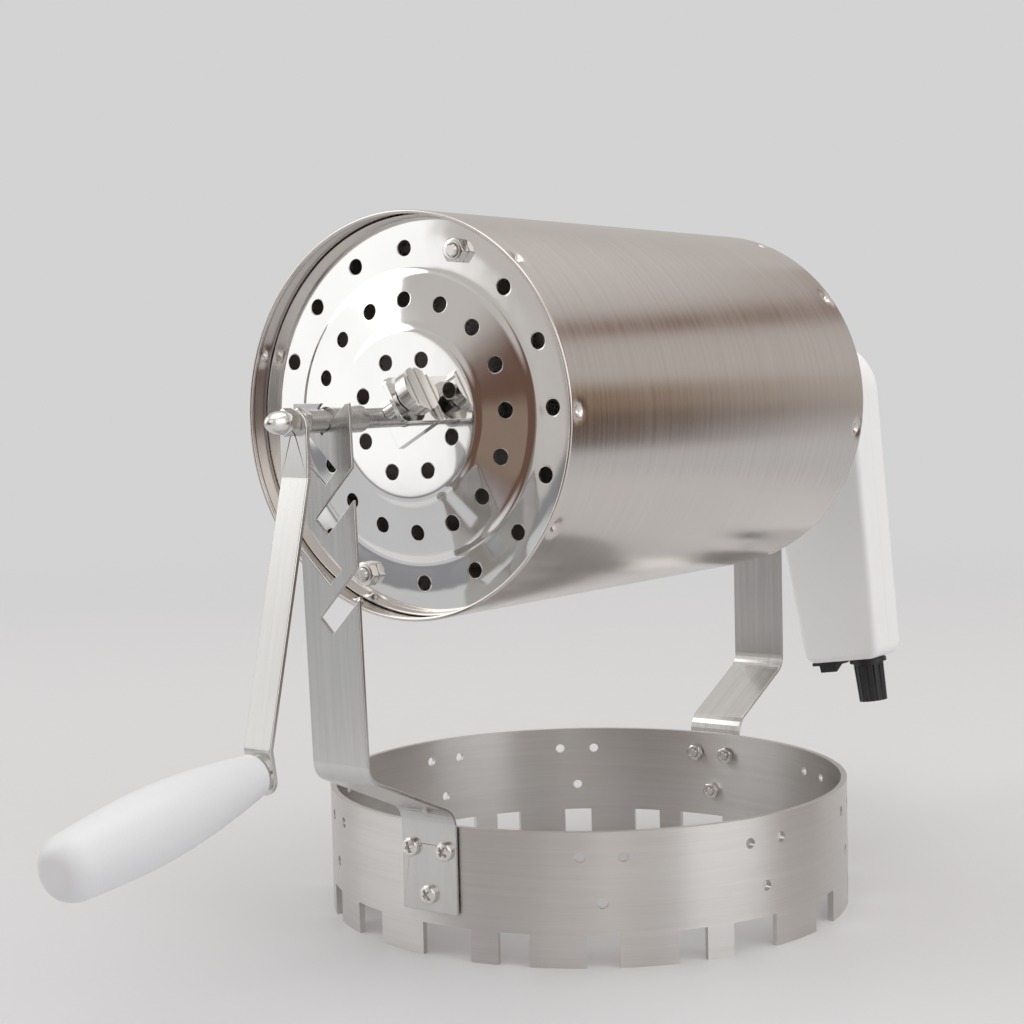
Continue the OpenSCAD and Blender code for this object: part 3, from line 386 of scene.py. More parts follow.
# %% [markdown]
# ## Plastics and coatings
# The rest is moulded or coated: white plastic for the grip and the housing, black plastic for knob
# and switch, blackened grub screws, shrink-wrapped cells and a lacquered circuit board. A plain
# colour looks like wax, so a fine grain breaks the highlights and a slight cloudiness the colour.

# %% Plastics and coatings
TINT_CLOUDS = (35, 35, 35)
GRAIN_SWING, SCATTER_REACH = 0.10, (0.004, 0.004, 0.004)
PLASTICS = {
    # tint, roughness, depth of the grain in mm, grains to the metre, cloudiness, scattering
    "white_grip": ((0.77, 0.78, 0.80), 0.34, 0.02, 900, 0.03, 0.25),
    "white_housing": ((0.93, 0.935, 0.94), 0.42, 0.02, 2200, 0.03, 0.2),
    "black_plastic": ((0.018, 0.018, 0.019), 0.38, 0.03, 2600, 0.3, 0),
    "black_steel": ((0.045, 0.044, 0.043), 0.40, 0.01, 3000, 0.4, 0),
    "cell_wrap": ((0.03, 0.12, 0.42), 0.22, 0.03, 120, 0.25, 0),
    "pot_case": ((0.07, 0.12, 0.20), 0.45, 0.02, 1500, 0.2, 0),
}
LACQUER, TRACK, TRACKS = (0.012, 0.10, 0.035), (0.05, 0.22, 0.09), 320.0


def moulded(tint, rough, grain, per_metre, cloudy, scatter):
    """Moulded plastic: grain in relief and roughness, and a tint that is a little darker in places."""
    def shade(graph):
        place = graph.place()
        fine = graph.noise(place, (per_metre,) * 3, detail=3.0)
        cloud = graph.noise(place, TINT_CLOUDS)
        return graph.add("ShaderNodeBsdfPrincipled", {}, {
            "Base Color": graph.mix(cloud, [c * (1 - cloudy) for c in tint], tint),
            "Roughness": rough + (fine - 0.5) * GRAIN_SWING,
            "Subsurface Weight": scatter,
            "Subsurface Radius": SCATTER_REACH,
            "Normal": graph.bump(fine, grain),
        })
    return shade


def lacquered_board(graph):
    """A green circuit board: the joints of a brick pattern are the copper tracks under the lacquer."""
    bricks = graph.add("ShaderNodeTexBrick", {}, {
        "Vector": graph.place(), "Scale": TRACKS, "Mortar Size": 0.09,
        "Color1": rgba(0.0), "Color2": rgba(0.0), "Mortar": rgba(1.0),
    })
    colour = graph.mix(bricks, LACQUER, TRACK)
    return graph.add("ShaderNodeBsdfPrincipled", {}, {"Base Color": colour, "Roughness": 0.3})


finishes.update({name: finish_of(name, moulded(*values)) for name, values in PLASTICS.items()})
finishes["circuit_board"] = finish_of("circuit_board", lacquered_board)
print(len(finishes), "finishes")

# %% [markdown]
# ## Surfaces from formulas
# The pieces that show most are modelled again as numpy grids, so that round parts are smooth, edges
# are rounded and holes stay round. A CAD mesh would need a subdivision that also softens its flats;
# a grid has its points where the shape bends. A grid is rows of points, and neighbouring rows and
# columns make the faces. Every length is in millimetres until the mesh is made.

# %% Grids and profiles
def quads(rows, columns, close_rows=False):
    """Faces between neighbours of a grid that is numbered row by row and whose rows go all round."""
    row, column = np.meshgrid(np.arange(rows - (not close_rows)), np.arange(columns), indexing="ij")
    next_row, next_column = (row + 1) % rows, (column + 1) % columns
    corners = [row * columns + column, row * columns + next_column,
               next_row * columns + next_column, next_row * columns + column]
    return np.stack(corners, -1).reshape(-1, 4)


def polar(radius, degrees):
    """Points (r cos a, r sin a)."""
    turn = np.radians(degrees)
    return np.stack([radius * np.cos(turn), radius * np.sin(turn)], -1)


def arc(centre, radius, start, end, steps):
    """Points on a circle, centre + radius (cos a, sin a), from one angle in degrees to another."""
    return np.asarray(centre) + polar(radius, np.linspace(start, end, steps + 1))


def revolve(profile, columns):
    """Turns (radius, distance) pairs about the Y axis: x = r cos t, y = distance, z = r sin t."""
    profile = np.asarray(profile, float)
    turn = np.linspace(0, 2 * math.pi, columns, endpoint=False)
    radius, along = profile[:, :1], profile[:, 1:]
    return np.stack([radius * np.cos(turn), along + 0 * turn, radius * np.sin(turn)], -1)


def smooth(x):
    """0 below 0, 1 above 1 and 3x^2 - 2x^3 between."""
    x = np.clip(x, 0, 1)
    return x * x * (3 - 2 * x)


def about_y(points, degrees):
    """Turns points about the Y axis, from +X towards +Z."""
    c, s = math.cos(math.radians(degrees)), math.sin(math.radians(degrees))
    return np.stack([points[..., 0] * c - points[..., 2] * s, points[..., 1],
                     points[..., 0] * s + points[..., 2] * c], -1)


def moved(part, x, y, z):
    """The same (points, faces) at another place."""
    return part[0] + np.array([x, y, z]), part[1]


print("grid tools ready")

# %% From grids to pieces
SAME_POINT = 0.001
CRISP_ANGLE, EDGE_ANGLE = 35, 50


def box_mm(node):
    """A CAD node's box as two arrays in millimetres."""
    low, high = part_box(node)
    return np.array(low) / MM, np.array(high) / MM


def slot_of(node):
    """The material slot that the record names for a node."""
    return next(p["material_slot"] for p in record["subparts"] if p["node"] == node)


def join(parts):
    """One list of points and one of faces from several (points, faces) pairs."""
    points, faces, count = [], [], 0
    for part, part_faces in parts:
        part = np.asarray(part, float).reshape(-1, 3)
        points.append(part)
        faces += [[int(i) + count for i in face] for face in part_faces]
        count += len(part)
    return np.concatenate(points), faces


def piece(name, body, finish, replaced, parts, facing=None):
    """Makes an object from (points, faces) pairs in millimetres that rides a body and replaces CAD nodes.

    Equal points are merged, so seams and poles close. Faces are turned outwards, or for an open
    skin so that their mean looks along the direction named by facing.
    """
    points, faces = join(parts)
    mesh = bpy.data.meshes.new(name)
    mesh.from_pydata((points * MM).tolist(), [], faces)
    work = bmesh.new()
    work.from_mesh(mesh)
    bmesh.ops.remove_doubles(work, verts=work.verts, dist=SAME_POINT * MM)
    bmesh.ops.recalc_face_normals(work, faces=work.faces)
    if facing is not None:
        mean = sum((f.normal * f.calc_area() for f in work.faces), Vector())
        if mean.dot(Vector(facing)) < 0:
            bmesh.ops.reverse_faces(work, faces=work.faces)
    work.to_mesh(mesh)
    work.free()
    mesh.polygons.foreach_set("use_smooth", np.ones(len(mesh.polygons), bool))
    mesh.materials.append(finishes[finish])
    obj = link_new(name, mesh)
    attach(obj, body)
    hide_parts(*replaced)
    print(name, len(mesh.polygons), "faces")
    return obj


def add_walls(obj, thickness):
    """Gives an outer skin its thickness, inwards."""
    walls = obj.modifiers.new("walls", "SOLIDIFY")
    walls.thickness = thickness * MM
    walls.offset = -1


def break_edges(obj, width, angle=EDGE_ANGLE):
    """Rounds the edges that are sharper than the angle."""
    edges = obj.modifiers.new("edges", "BEVEL")
    edges.width = width * MM
    edges.segments = 2
    edges.limit_method = "ANGLE"
    edges.angle_limit = math.radians(angle)


def crisp(obj, angle=CRISP_ANGLE):
    """Keeps edges sharper than the angle crisp on a smooth-shaded piece."""
    split = obj.modifiers.new("split", "EDGE_SPLIT")
    split.split_angle = math.radians(angle)


drum_low, drum_high = box_mm("drum_sleeve")
DRUM_R = (drum_high[0] - drum_low[0]) / 2
AXIS_Z = (drum_high[2] + drum_low[2]) / 2
FRONT_Y, REAR_Y = drum_low[1], drum_high[1]
DRUM_L = REAR_Y - FRONT_Y
print("drum radius", round(DRUM_R, 2), "axis at", round(AXIS_Z, 2))
print("drum from", round(FRONT_Y, 2), "to", round(REAR_Y, 2))

# %% [markdown]
# ## The drum's sleeve
# The sleeve is thin sheet rolled to a tube, with a rolled rim and a folded hem at each end. Punched
# dents behind the rims hold the end plates. The profile is one closed loop: outer skin, rear rim,
# inner skin, front rim. The dents are radial moves of that grid, a sharp point in a broad soft
# shoulder, because a bump in the material wouldn't change the drum's outline.

# %% Drum sleeve
SLEEVE_T, HEM_L, HEM_RISE, DRUM_TURN = 0.6, 1.8, 0.4, 2.5
SLEEVE_COLUMNS, RIM_STEPS = 480, 8
RIM_ROWS, MIDDLE_ROWS, DENSE_L, FIRST_STEP = 26, 12, 12.0, 4.0
DENT_Y, DENT_IN, DENT_POINT_R, DENT_SHOULDER_R = 4.2, 1.8, 2.0, 4.6
POINT_SHARE, SHOULDER_SHARE = 0.7, 0.3
DENTS_FRONT = (45, 358.5, 326, 247, 159)
DENTS_REAR = (65, 34, 348, 295, 160, 210)


def sleeve_rows():
    """The closed loop of (radius, distance) pairs; the inner skin is thicker by the hem near a rim."""
    along = np.concatenate([
        np.linspace(SLEEVE_T, DENSE_L, RIM_ROWS),
        np.linspace(DENSE_L + FIRST_STEP, DRUM_L - DENSE_L - FIRST_STEP, MIDDLE_ROWS),
        np.linspace(DRUM_L - DENSE_L, DRUM_L - SLEEVE_T, RIM_ROWS),
    ])
    to_rim = np.minimum(along, DRUM_L - along)
    inner = DRUM_R - SLEEVE_T * (2 - smooth((to_rim - HEM_L + HEM_RISE / 2) / HEM_RISE))
    outer_skin = np.column_stack([np.full_like(along, DRUM_R), along])
    inner_skin = np.column_stack([inner, along])[::-1]
    rear_rim = arc((DRUM_R - SLEEVE_T, DRUM_L - SLEEVE_T), SLEEVE_T, 0, 180, RIM_STEPS)[1:-1]
    front_rim = arc((DRUM_R - SLEEVE_T, SLEEVE_T), SLEEVE_T, 180, 360, RIM_STEPS)[1:-1]
    return np.concatenate([outer_skin, rear_rim, inner_skin, front_rim])


def dent_depth(turn, along):
    """How far each grid point moves in: the larger of all dents, each a point plus a shoulder."""
    depth = np.zeros(np.broadcast_shapes(turn.shape, along.shape))
    places = [(a, DENT_Y) for a in DENTS_FRONT] + [(a, DRUM_L - DENT_Y) for a in DENTS_REAR]
    for angle, place in places:
        around = (turn - math.radians(angle + DRUM_TURN) + math.pi) % (2 * math.pi) - math.pi
        away = np.hypot(around * DRUM_R, along - place)
        point, shoulder = 1 - smooth(away / DENT_POINT_R), 1 - smooth(away / DENT_SHOULDER_R)
        depth = np.maximum(depth, DENT_IN * (POINT_SHARE * point + SHOULDER_SHARE * shoulder))
    return depth


def build_sleeve():
    """The grid of the sleeve, its radius lessened by the dents."""
    rows = sleeve_rows()
    turn = np.linspace(0, 2 * math.pi, SLEEVE_COLUMNS, endpoint=False)
    radius, along = rows[:, :1] - dent_depth(turn[None, :], rows[:, 1:]), rows[:, 1:] + 0 * turn
    points = np.stack([radius * np.cos(turn), FRONT_Y + along, AXIS_Z + radius * np.sin(turn)], -1)
    faces = quads(len(rows), SLEEVE_COLUMNS, close_rows=True)
    piece("sleeve", "drum", "satin_drum", ["drum_sleeve"], [(points, faces)])


build_sleeve()

# %% [markdown]
# ## The end plates
# Each end is a polished pressing: a flat disc, a step, a shallow cone, a second step and a border
# that turns back into the drum, with three rings of holes. Holes cut by a Boolean would leave long
# slivers that show in a mirror finish, so the grid is made round them. Depth over the plane is a sum
# of soft bends, each the slope's change times w ln(1 + exp((r - r0) / w)). Round each hole the polar
# grid becomes a fan: every point on the border of the hole's cell is joined to the point of the hole
# in its direction. Solidify gives the sheet its thickness, and a narrow bevel breaks the edges, which
# makes the bright crescents in the holes.

# %% End plates
PLATE_T, PLATE_R, SHAFT_HOLE_R = 1.0, DRUM_R - SLEEVE_T - 0.1, 3.1
DISC_RECESS, RING_RECESS = 3.1, 6.9
STEP_SLOPE, CONE_SLOPE, BORDER_SLOPE = 0.43, 0.16, 0.09
STEP_R, CONE_END_R, STEP_L, BORDER_R = 26.0, 43.7, 1.4, 55.0
STEP_BEND, BORDER_BEND = 0.35, 0.7
EDGE_R, EDGE_STEPS, FLANGE_L, PLATE_BREAK = 1.1, 8, 5.0, 0.22
VENT_R, VENT_RINGS = 2.5, ((18.15, 8, 0.5), (35.7, 16, 0), (51.4, 16, 0))
ROD_R, ROD_HOLE_R, ROD_AT = 52.8, 2.05, (69.5, 248.5)
PLATE_COLUMNS, BAND_ROWS, CELL_HALF, SIDE_STEPS = 192, 15, 4.2, 6
FAN = (0.0, 0.07, 0.18, 0.36, 0.65, 1.0)


def plate_depth(r):
    """Depth of the plate's face below the rim at a radius: a start value and five soft bends."""
    bends = (
        (STEP_R, STEP_SLOPE, STEP_BEND),
        (STEP_R + STEP_L, CONE_SLOPE - STEP_SLOPE, STEP_BEND),
        (CONE_END_R, STEP_SLOPE - CONE_SLOPE, STEP_BEND),
        (CONE_END_R + STEP_L, -STEP_SLOPE, STEP_BEND),
        (BORDER_R, BORDER_SLOPE, BORDER_BEND),
    )
    return DISC_RECESS + sum(turn * width * np.logaddexp(0, (r - at) / width) for at, turn, width in bends)


def on_plate(flat):
    """Points of the face from points of the plane."""
    return np.stack([flat[..., 0], plate_depth(np.linalg.norm(flat, axis=-1)), flat[..., 1]], -1)


def cell(r_middle, at, sector, hole_r, hole_at, hole_radius):
    """A fan of faces from a hole to the border of its cell, which spans a sector and two radii."""
    half, steps = sector / 2, round(PLATE_COLUMNS * sector / 360)
    across = np.linspace(at - half, at + half, steps + 1)[:-1]
    out = np.linspace(r_middle - CELL_HALF, r_middle + CELL_HALF, SIDE_STEPS + 1)[:-1]
    inner, outer = np.full(steps, r_middle - CELL_HALF), np.full(steps, r_middle + CELL_HALF)
    left, right = np.full(SIDE_STEPS, at + half), np.full(SIDE_STEPS, at - half)
    border = polar(np.concatenate([inner, out, outer, 2 * r_middle - out]),
                   np.concatenate([across, left, 2 * at - across, right]))
    centre = polar(hole_r, hole_at)
    way = border - centre
    hole = centre + hole_radius * way / np.linalg.norm(way, axis=1, keepdims=True)
    fan = np.array([hole + share * (border - hole) for share in FAN])
    return on_plate(fan), quads(len(FAN), len(border))


def band(radii, depths=None):
    """Rings of the polar grid at these radii, on the face or at given depths."""
    degrees = np.arange(PLATE_COLUMNS) * 360 / PLATE_COLUMNS
    points = on_plate(polar(np.asarray(radii)[:, None], degrees[None, :]))
    if depths is not None:
        points[..., 1] = np.asarray(depths)[:, None]
    return points, quads(len(radii), PLATE_COLUMNS)


def plate_parts():
    """Bands between the rings of holes, cells round the holes, and the edge that turns back."""
    lean = math.degrees(math.atan(BORDER_SLOPE))
    edge = arc((PLATE_R - EDGE_R, 0), EDGE_R, lean - 90, 0, EDGE_STEPS)
    edge[:, 1] += plate_depth(edge[0, 0]) - edge[0, 1]
    starts = [SHAFT_HOLE_R] + [r + CELL_HALF for r, _, _ in VENT_RINGS]
    ends = [r - CELL_HALF for r, _, _ in VENT_RINGS] + [edge[0, 0]]
    parts = [band(np.linspace(start, end, BAND_ROWS)) for start, end in zip(starts, ends)]
    parts.append(band(np.append(edge[:, 0], PLATE_R), np.append(edge[:, 1], edge[-1, 1] + FLANGE_L)))
    for r, count, shift in VENT_RINGS:
        sector = 360 / count
        for i in range(count):
            at = (i + shift) * sector
            rods = [a - DRUM_TURN for a in ROD_AT if abs(a - DRUM_TURN - at) < sector / 4]
            is_rod = rods and abs(r - ROD_R) < CELL_HALF
            hole = (ROD_R, rods[0], ROD_HOLE_R) if is_rod else (r, at, VENT_R)
            parts.append(cell(r, at, sector, *hole))
    return parts


def build_plate(name, node, mirrored):
    """A plate at the front rim, or its mirror image at the rear rim."""
    parts = []
    for points, faces in plate_parts():
        points = about_y(points, DRUM_TURN)
        points[..., 1] = REAR_Y - points[..., 1] if mirrored else FRONT_Y + points[..., 1]
        points[..., 2] += AXIS_Z
        parts.append((points, faces))
    plate = piece(name, "drum", "polished_plate", [node], parts, facing=(0, 1 if mirrored else -1, 0))
    add_walls(plate, PLATE_T)
    break_edges(plate, PLATE_BREAK)


build_plate("end_plate_front", "front_plate", False)
build_plate("end_plate_rear", "rear_plate", True)

# %% [markdown]
# ## Tie rods and nuts
# Two rods tie the end plates together, with a nut on each side of each plate. A hexagonal prism with
# a bevel looks wrong, because a real nut's corners are cut by a cone. So a hexagon's radius at an
# angle is its half width over the cosine of the angle to the nearest flat, the chamfer is the cone,
# and the nut's side is the lesser of the two, which draws the curved corners.

# %% Nuts
M4_R, M4_BORE_R, M4_FLATS, M4_NUT_H = 2.0, 2.05, 7.0, 3.2
NUT_COLUMNS = 72
CHAMFER_SHARE, CHAMFER_RISE = 0.95, math.tan(math.radians(60))
CHAMFER_ROWS = (0.0, 0.12, 0.24, 0.4, 0.6, 0.9)
LEAD_IN, LEAD_SLIP = 0.3, 0.02


def hexagon(flats, turned=0):
    """Radius of a hexagon at each column's angle; the first flat's middle lies at the turned angle."""
    degrees = np.arange(NUT_COLUMNS) * 360 / NUT_COLUMNS - turned
    return flats / 2 / np.cos(np.radians((degrees + 30) % 60 - 30))


def hex_rows(flats, height, turned=0):
    """Rows of (radius per column, height) up the side of a nut that is chamfered at both ends."""
    side = hexagon(flats, turned)
    rows = [(np.minimum(side, flats / 2 * CHAMFER_SHARE + d * CHAMFER_RISE), d) for d in CHAMFER_ROWS]
    return rows + [(r, height - d) for r, d in reversed(rows)]


def ring_points(rows):
    """Points about the Y axis of rows of (radius per column, height)."""
    turn = np.arange(NUT_COLUMNS) * 2 * math.pi / NUT_COLUMNS
    radius, height = np.array([r for r, _ in rows]), np.array([[y] for _, y in rows])
    return np.stack([radius * np.cos(turn), height + 0 * turn, radius * np.sin(turn)], -1)


def nut(flats, height, bore, turned=0):
    """A closed nut from its bore outwards, standing on y = 0 and rising to y = height."""
    hole = np.full(NUT_COLUMNS, bore)
    rows = [(hole, height / 2), (hole + LEAD_SLIP, LEAD_IN), (hole + LEAD_IN, 0.0)]
    rows += hex_rows(flats, height, turned)
    rows += [(hole + LEAD_IN, height), (hole + LEAD_SLIP, height - LEAD_IN)]
    return ring_points(rows), quads(len(rows), NUT_COLUMNS, close_rows=True)


print("nuts of", NUT_COLUMNS, "columns")

# %% Tie rods and their nuts
ROD_PROUD, ROD_COLUMNS, TIP_IN, TIP_L, POLE_R = 1.1, 48, 0.5, 0.45, 0.02
NUT_GAP, OUTER_NUT_TURN = 0.2, 14
PLATE_FACE_Y = FRONT_Y + RING_RECESS


def build_rod_nuts():
    """Two nuts on the front plate for each rod, and their mirror images on the rear plate."""
    parts = []
    for at in ROD_AT:
        x, z = polar(ROD_R, at)
        inside = (PLATE_FACE_Y + PLATE_T + NUT_GAP, at)
        outside = (PLATE_FACE_Y - M4_NUT_H, at + OUTER_NUT_TURN)
        for y, turned in (outside, inside):
            points, faces = moved(nut(M4_FLATS, M4_NUT_H, M4_BORE_R, turned), x, y, AXIS_Z + z)
            mirrored = points * np.array([1, -1, 1]) + np.array([0, FRONT_Y + REAR_Y, 0])
            parts += [(points, faces), (mirrored, faces)]
    crisp(piece("rod_nuts", "drum", "bright_fastener", ["tie_rod_nuts"], parts))


def build_rods():
    """The two tie rods, whose ends stand a little proud of the outer nuts."""
    front = PLATE_FACE_Y - M4_NUT_H - ROD_PROUD
    rear = FRONT_Y + REAR_Y - front
    loop = np.array([[POLE_R, front], [M4_R - TIP_IN, front], [M4_R, front + TIP_L],
                     [M4_R, rear - TIP_L], [M4_R - TIP_IN, rear], [POLE_R, rear]])
    ends = [list(range(ROD_COLUMNS)), [(len(loop) - 1) * ROD_COLUMNS + i for i in range(ROD_COLUMNS)]]
    rod = revolve(loop, ROD_COLUMNS), quads(len(loop), ROD_COLUMNS).tolist() + ends
    parts = [moved(rod, x, 0, AXIS_Z + z) for x, z in (polar(ROD_R, at) for at in ROD_AT)]
    crisp(piece("rods", "drum", "bright_fastener", ["tie_rods"], parts))


build_rod_nuts()
build_rods()

# %% [markdown]
# ## Nuts on the crank
# A plain nut locks the arm from behind, and a domed nut closes the shaft's end. The dome is the same
# chamfered hexagon, whose rows go on along a quarter of an ellipse to a point: one surface, with no
# seam between hexagon and nose.

# %% Lock nut and domed nut
HEX_SHARE, NOSE_SHARE, NOSE_FROM, NOSE_ROWS = 0.4, 0.62, 6, 16
DOME_LIP, NOSE_GAP = 0.4, 0.05


def build_lock_nut():
    """The nut behind the crank arm."""
    low, high = box_mm("arm_lock_nut")
    part = moved(nut(M4_FLATS, high[1] - low[1], M4_BORE_R), 0, low[1], AXIS_Z)
    crisp(piece("lock_nut", "drum", "bright_fastener", ["arm_lock_nut"], [part]))


def build_dome_nut():
    """A chamfered hexagon that turns into a nose along a quarter of an ellipse."""
    low, high = box_mm("dome_nut")
    length = high[1] - low[1]
    hex_l, nose_l = length * HEX_SHARE, length * NOSE_SHARE
    whole = np.ones(NUT_COLUMNS)
    rows = [(whole * M4_BORE_R, DOME_LIP), (whole * M4_BORE_R, 0.0)] + hex_rows(M4_FLATS, hex_l)
    for a in np.radians(np.linspace(NOSE_FROM, 90, NOSE_ROWS)):
        height = length - nose_l * (1 - math.sin(a))
        if height > hex_l + NOSE_GAP:
            rows.append((whole * M4_FLATS / 2 * math.cos(a), height))
    points = ring_points(rows) * np.array([1, -1, 1]) + np.array([0, high[1], AXIS_Z])
    faces = quads(len(rows), NUT_COLUMNS)
    crisp(piece("dome", "drum", "bright_fastener", ["dome_nut"], [(points, faces)], facing=(0, -1, 0)))


build_lock_nut()
build_dome_nut()

# %% [markdown]
# ## Screws and nuts in the feet
# Three small pan-head screws hold each leg to the ring. A pan head is a low dome over a short round
# side. Its cross is pressed into the dome: the depth is a soft bar along each of two directions, and
# the deeper of the two counts, so the recess needs no cut. The shank goes through leg and ring and
# shows its end behind the nut, so head, shank and end are one turned surface.

# %% Leg screws and nuts
HEAD_R, HEAD_H, SHANK_R, TAIL = 3.0, 2.0, 1.5, 0.2
TOP_SHARE, TOP_ROWS, TOP_FALL = 0.86, 18, 0.35
SHOULDER_R, SHOULDER_DROP, SHOULDER_FROM, SHOULDER_STEPS = 0.55, 0.88, 62, 6
SEAT_BREAK, SHANK_BREAK, SCREW_COLUMNS = 0.12, 0.35, 64
CROSS_HALF, CROSS_REACH, CROSS_DEEP, CROSS_SOFT = 0.46, 1.7, 1.3, 0.2
NUT_FLATS, NUT_H, NUT_BORE_R = 5.5, 2.4, SHANK_R + 0.05
RING_IN_R, RING_GAP, NUT_REACH = 87.0, 0.05, NUT_FLATS / math.sqrt(3)
FOOT_HOLES = ((-6.6, 34.3), (6.6, 34.3), (0.0, 20.0))
SCREW_TURNS = (20, 52, 38)


def nut_seat(x):
    """How far the nut's face lies from the ring's axis plane, where its outer corner meets the wall."""
    return math.sqrt(RING_IN_R ** 2 - (abs(x) + NUT_REACH) ** 2) - RING_GAP


def cross_depth(x, z, turned):
    """Depth of the cross at points of the head."""
    c, s = math.cos(math.radians(turned)), math.sin(math.radians(turned))
    depth = 0
    for along, across in ((x * c + z * s, z * c - x * s), (z * c - x * s, x * c + z * s)):
        bar = 1 - smooth((np.abs(across) - CROSS_HALF + CROSS_SOFT / 2) / CROSS_SOFT)
        reach = 1 - smooth((np.abs(along) - CROSS_REACH + CROSS_SOFT) / (2 * CROSS_SOFT))
        depth = np.maximum(depth, bar * reach)
    return CROSS_DEEP * depth


def screw(length, turned):
    """A pan head whose seat is y = 0 and whose shank runs to y = length."""
    top = np.linspace(POLE_R, TOP_SHARE * HEAD_R, TOP_ROWS)
    dome = TOP_FALL * (top / HEAD_R) ** 2 - HEAD_H
    centre = (HEAD_R - SHOULDER_R, SHOULDER_DROP - HEAD_H)
    shoulder = arc(centre, SHOULDER_R, -SHOULDER_FROM, 0, SHOULDER_STEPS)
    rows = np.concatenate([
        np.column_stack([top, dome]),
        shoulder,
        [[HEAD_R, -SEAT_BREAK], [HEAD_R - SEAT_BREAK, 0], [SHANK_R, 0]],
        [[SHANK_R, length - SHANK_BREAK], [SHANK_R - SHANK_BREAK, length], [POLE_R, length]],
    ])
    points = revolve(rows, SCREW_COLUMNS)
    on_top = points[:len(top)]
    on_top[..., 1] += cross_depth(on_top[..., 0], on_top[..., 2], turned)
    columns = list(range(SCREW_COLUMNS))
    ends = [columns[::-1], [(len(rows) - 1) * SCREW_COLUMNS + i for i in columns]]
    return points, quads(len(rows), SCREW_COLUMNS).tolist() + ends


def both_feet(part, x, y, z):
    """A part placed on the front foot, and its mirror image on the rear foot."""
    points, faces = moved(part, x, y, z)
    return [(points, faces), (points * np.array([1, -1, 1]), [list(face)[::-1] for face in faces])]


def build_feet():
    """Three screws and three nuts through each foot."""
    seat = -box_mm("leg_screws")[0][1] - HEAD_H
    screws, nuts = [], []
    for (x, z), turned in zip(FOOT_HOLES, SCREW_TURNS):
        inner = nut_seat(x)
        screws += both_feet(screw(seat - inner + NUT_H + TAIL, turned), x, -seat, z)
        nuts += both_feet(nut(NUT_FLATS, NUT_H, NUT_BORE_R, turned), x, -inner, z)
    crisp(piece("foot_screws", "stand", "bright_fastener", ["leg_screws"], screws))
    crisp(piece("foot_nuts", "stand", "bright_fastener", ["leg_nuts"], nuts))


build_feet()

# %% [markdown]
# ## The housing
# The drive unit's housing is two moulded shells that meet in the middle and follow one outline: a
# round top, straight sides that draw in, and round lower corners. Every point of it has a centre and
# a direction, so that an inset only shortens the radius. Rows of outlines with growing inset make
# the round edge, which a bevel on such a long curve would make uneven. Where the barrel at the front
# is wider than the row, the row is pushed out to the barrel. Solidify gives the walls their 2 mm.

# %% Housing outline
BARREL_R, BARREL_FRONT_R, CORNER_R = 23.0, 22.6, 5.0
DRIVE_W, DRIVE_DROP, DRIVE_LEAN, SHELL_T, EDGE_ROUND = 34.0, 110.0, 8.0, 2.0, 3.0
ROUND_STEPS, CORNER_STEPS, SIDE_ROWS, ROUND_ROWS = 72, 14, 14, 9
LOW_X, LOW_Z = DRIVE_W / 2 - CORNER_R, DRIVE_DROP - CORNER_R
SIDE_TAPER = math.asin((BARREL_R - CORNER_R) / math.hypot(LOW_X, LOW_Z)) - math.atan2(LOW_X, LOW_Z)
SPLIT_Y, BACK_Y = (corner[1] for corner in box_mm("drive_rear_shell"))
# The openings at the bottom: middle across, half width and half depth.
BUSH = (DRIVE_W * 0.19, 4.55, 4.55)
SWITCH = (-DRIVE_W * 0.275, 5.15, 7.35)


def outline(inset):
    """The housing's outline as (x, z) points about the drum's axis, anticlockwise from the right side."""
    lean = math.degrees(SIDE_TAPER)
    top = arc((0, 0), BARREL_R - inset, -lean, 180 + lean, ROUND_STEPS)
    left = arc((-LOW_X, -LOW_Z), CORNER_R - inset, 180 + lean, 270, CORNER_STEPS)
    right = arc((LOW_X, -LOW_Z), CORNER_R - inset, 270, 360 - lean, CORNER_STEPS)
    cuts = sorted(at + side * half for at, half, _ in (BUSH, SWITCH) for side in (-1, 1))
    bottom = np.array([[x, -DRIVE_DROP + inset] for x in cuts if abs(x) < LOW_X])
    share = np.linspace(0, 1, SIDE_ROWS)[1:-1, None]
    left_side, right_side = top[-1] + (left[0] - top[-1]) * share, right[-1] + (top[0] - right[-1]) * share
    return np.concatenate([top, left_side, left, bottom, right, right_side])


def shell_rows(face, way):
    """(inset, y) of each row from the split to the face, with a quarter circle as the edge."""
    straight = (SPLIT_Y, SPLIT_Y + way * BUSH[2], SPLIT_Y + way * SWITCH[2], face - way * EDGE_ROUND)
    edge = [(EDGE_ROUND * (1 - math.cos(a)), face - way * EDGE_ROUND * (1 - math.sin(a)))
            for a in np.radians(np.linspace(0, 90, ROUND_ROWS))[1:]]
    return [(0, y) for y in straight] + edge


def at_depth(flat, y):
    """(x, z) points of the outline's plane as points in space."""
    return np.column_stack([flat[:, 0], np.full(len(flat), y), flat[:, 1]])


print("outline of", len(outline(0)), "points")

# %% Housing shells
SCREW_HOLE_R, HOLE_COLUMNS, BOTTOM_BAND = 2.5, 48, 0.5
SCREW_X_Z = ((0.456, -0.268), (0.353, -0.836))
SCREW_AT = [(side * DRIVE_W * x, DRIVE_DROP * z) for side in (-1, 1) for x, z in SCREW_X_Z]
LIP_R, LIP_STEPS, COUPLING_GAP = 1.0, 6, 0.2
SHELL_BREAK, SHELL_CRISP = 0.25, 20


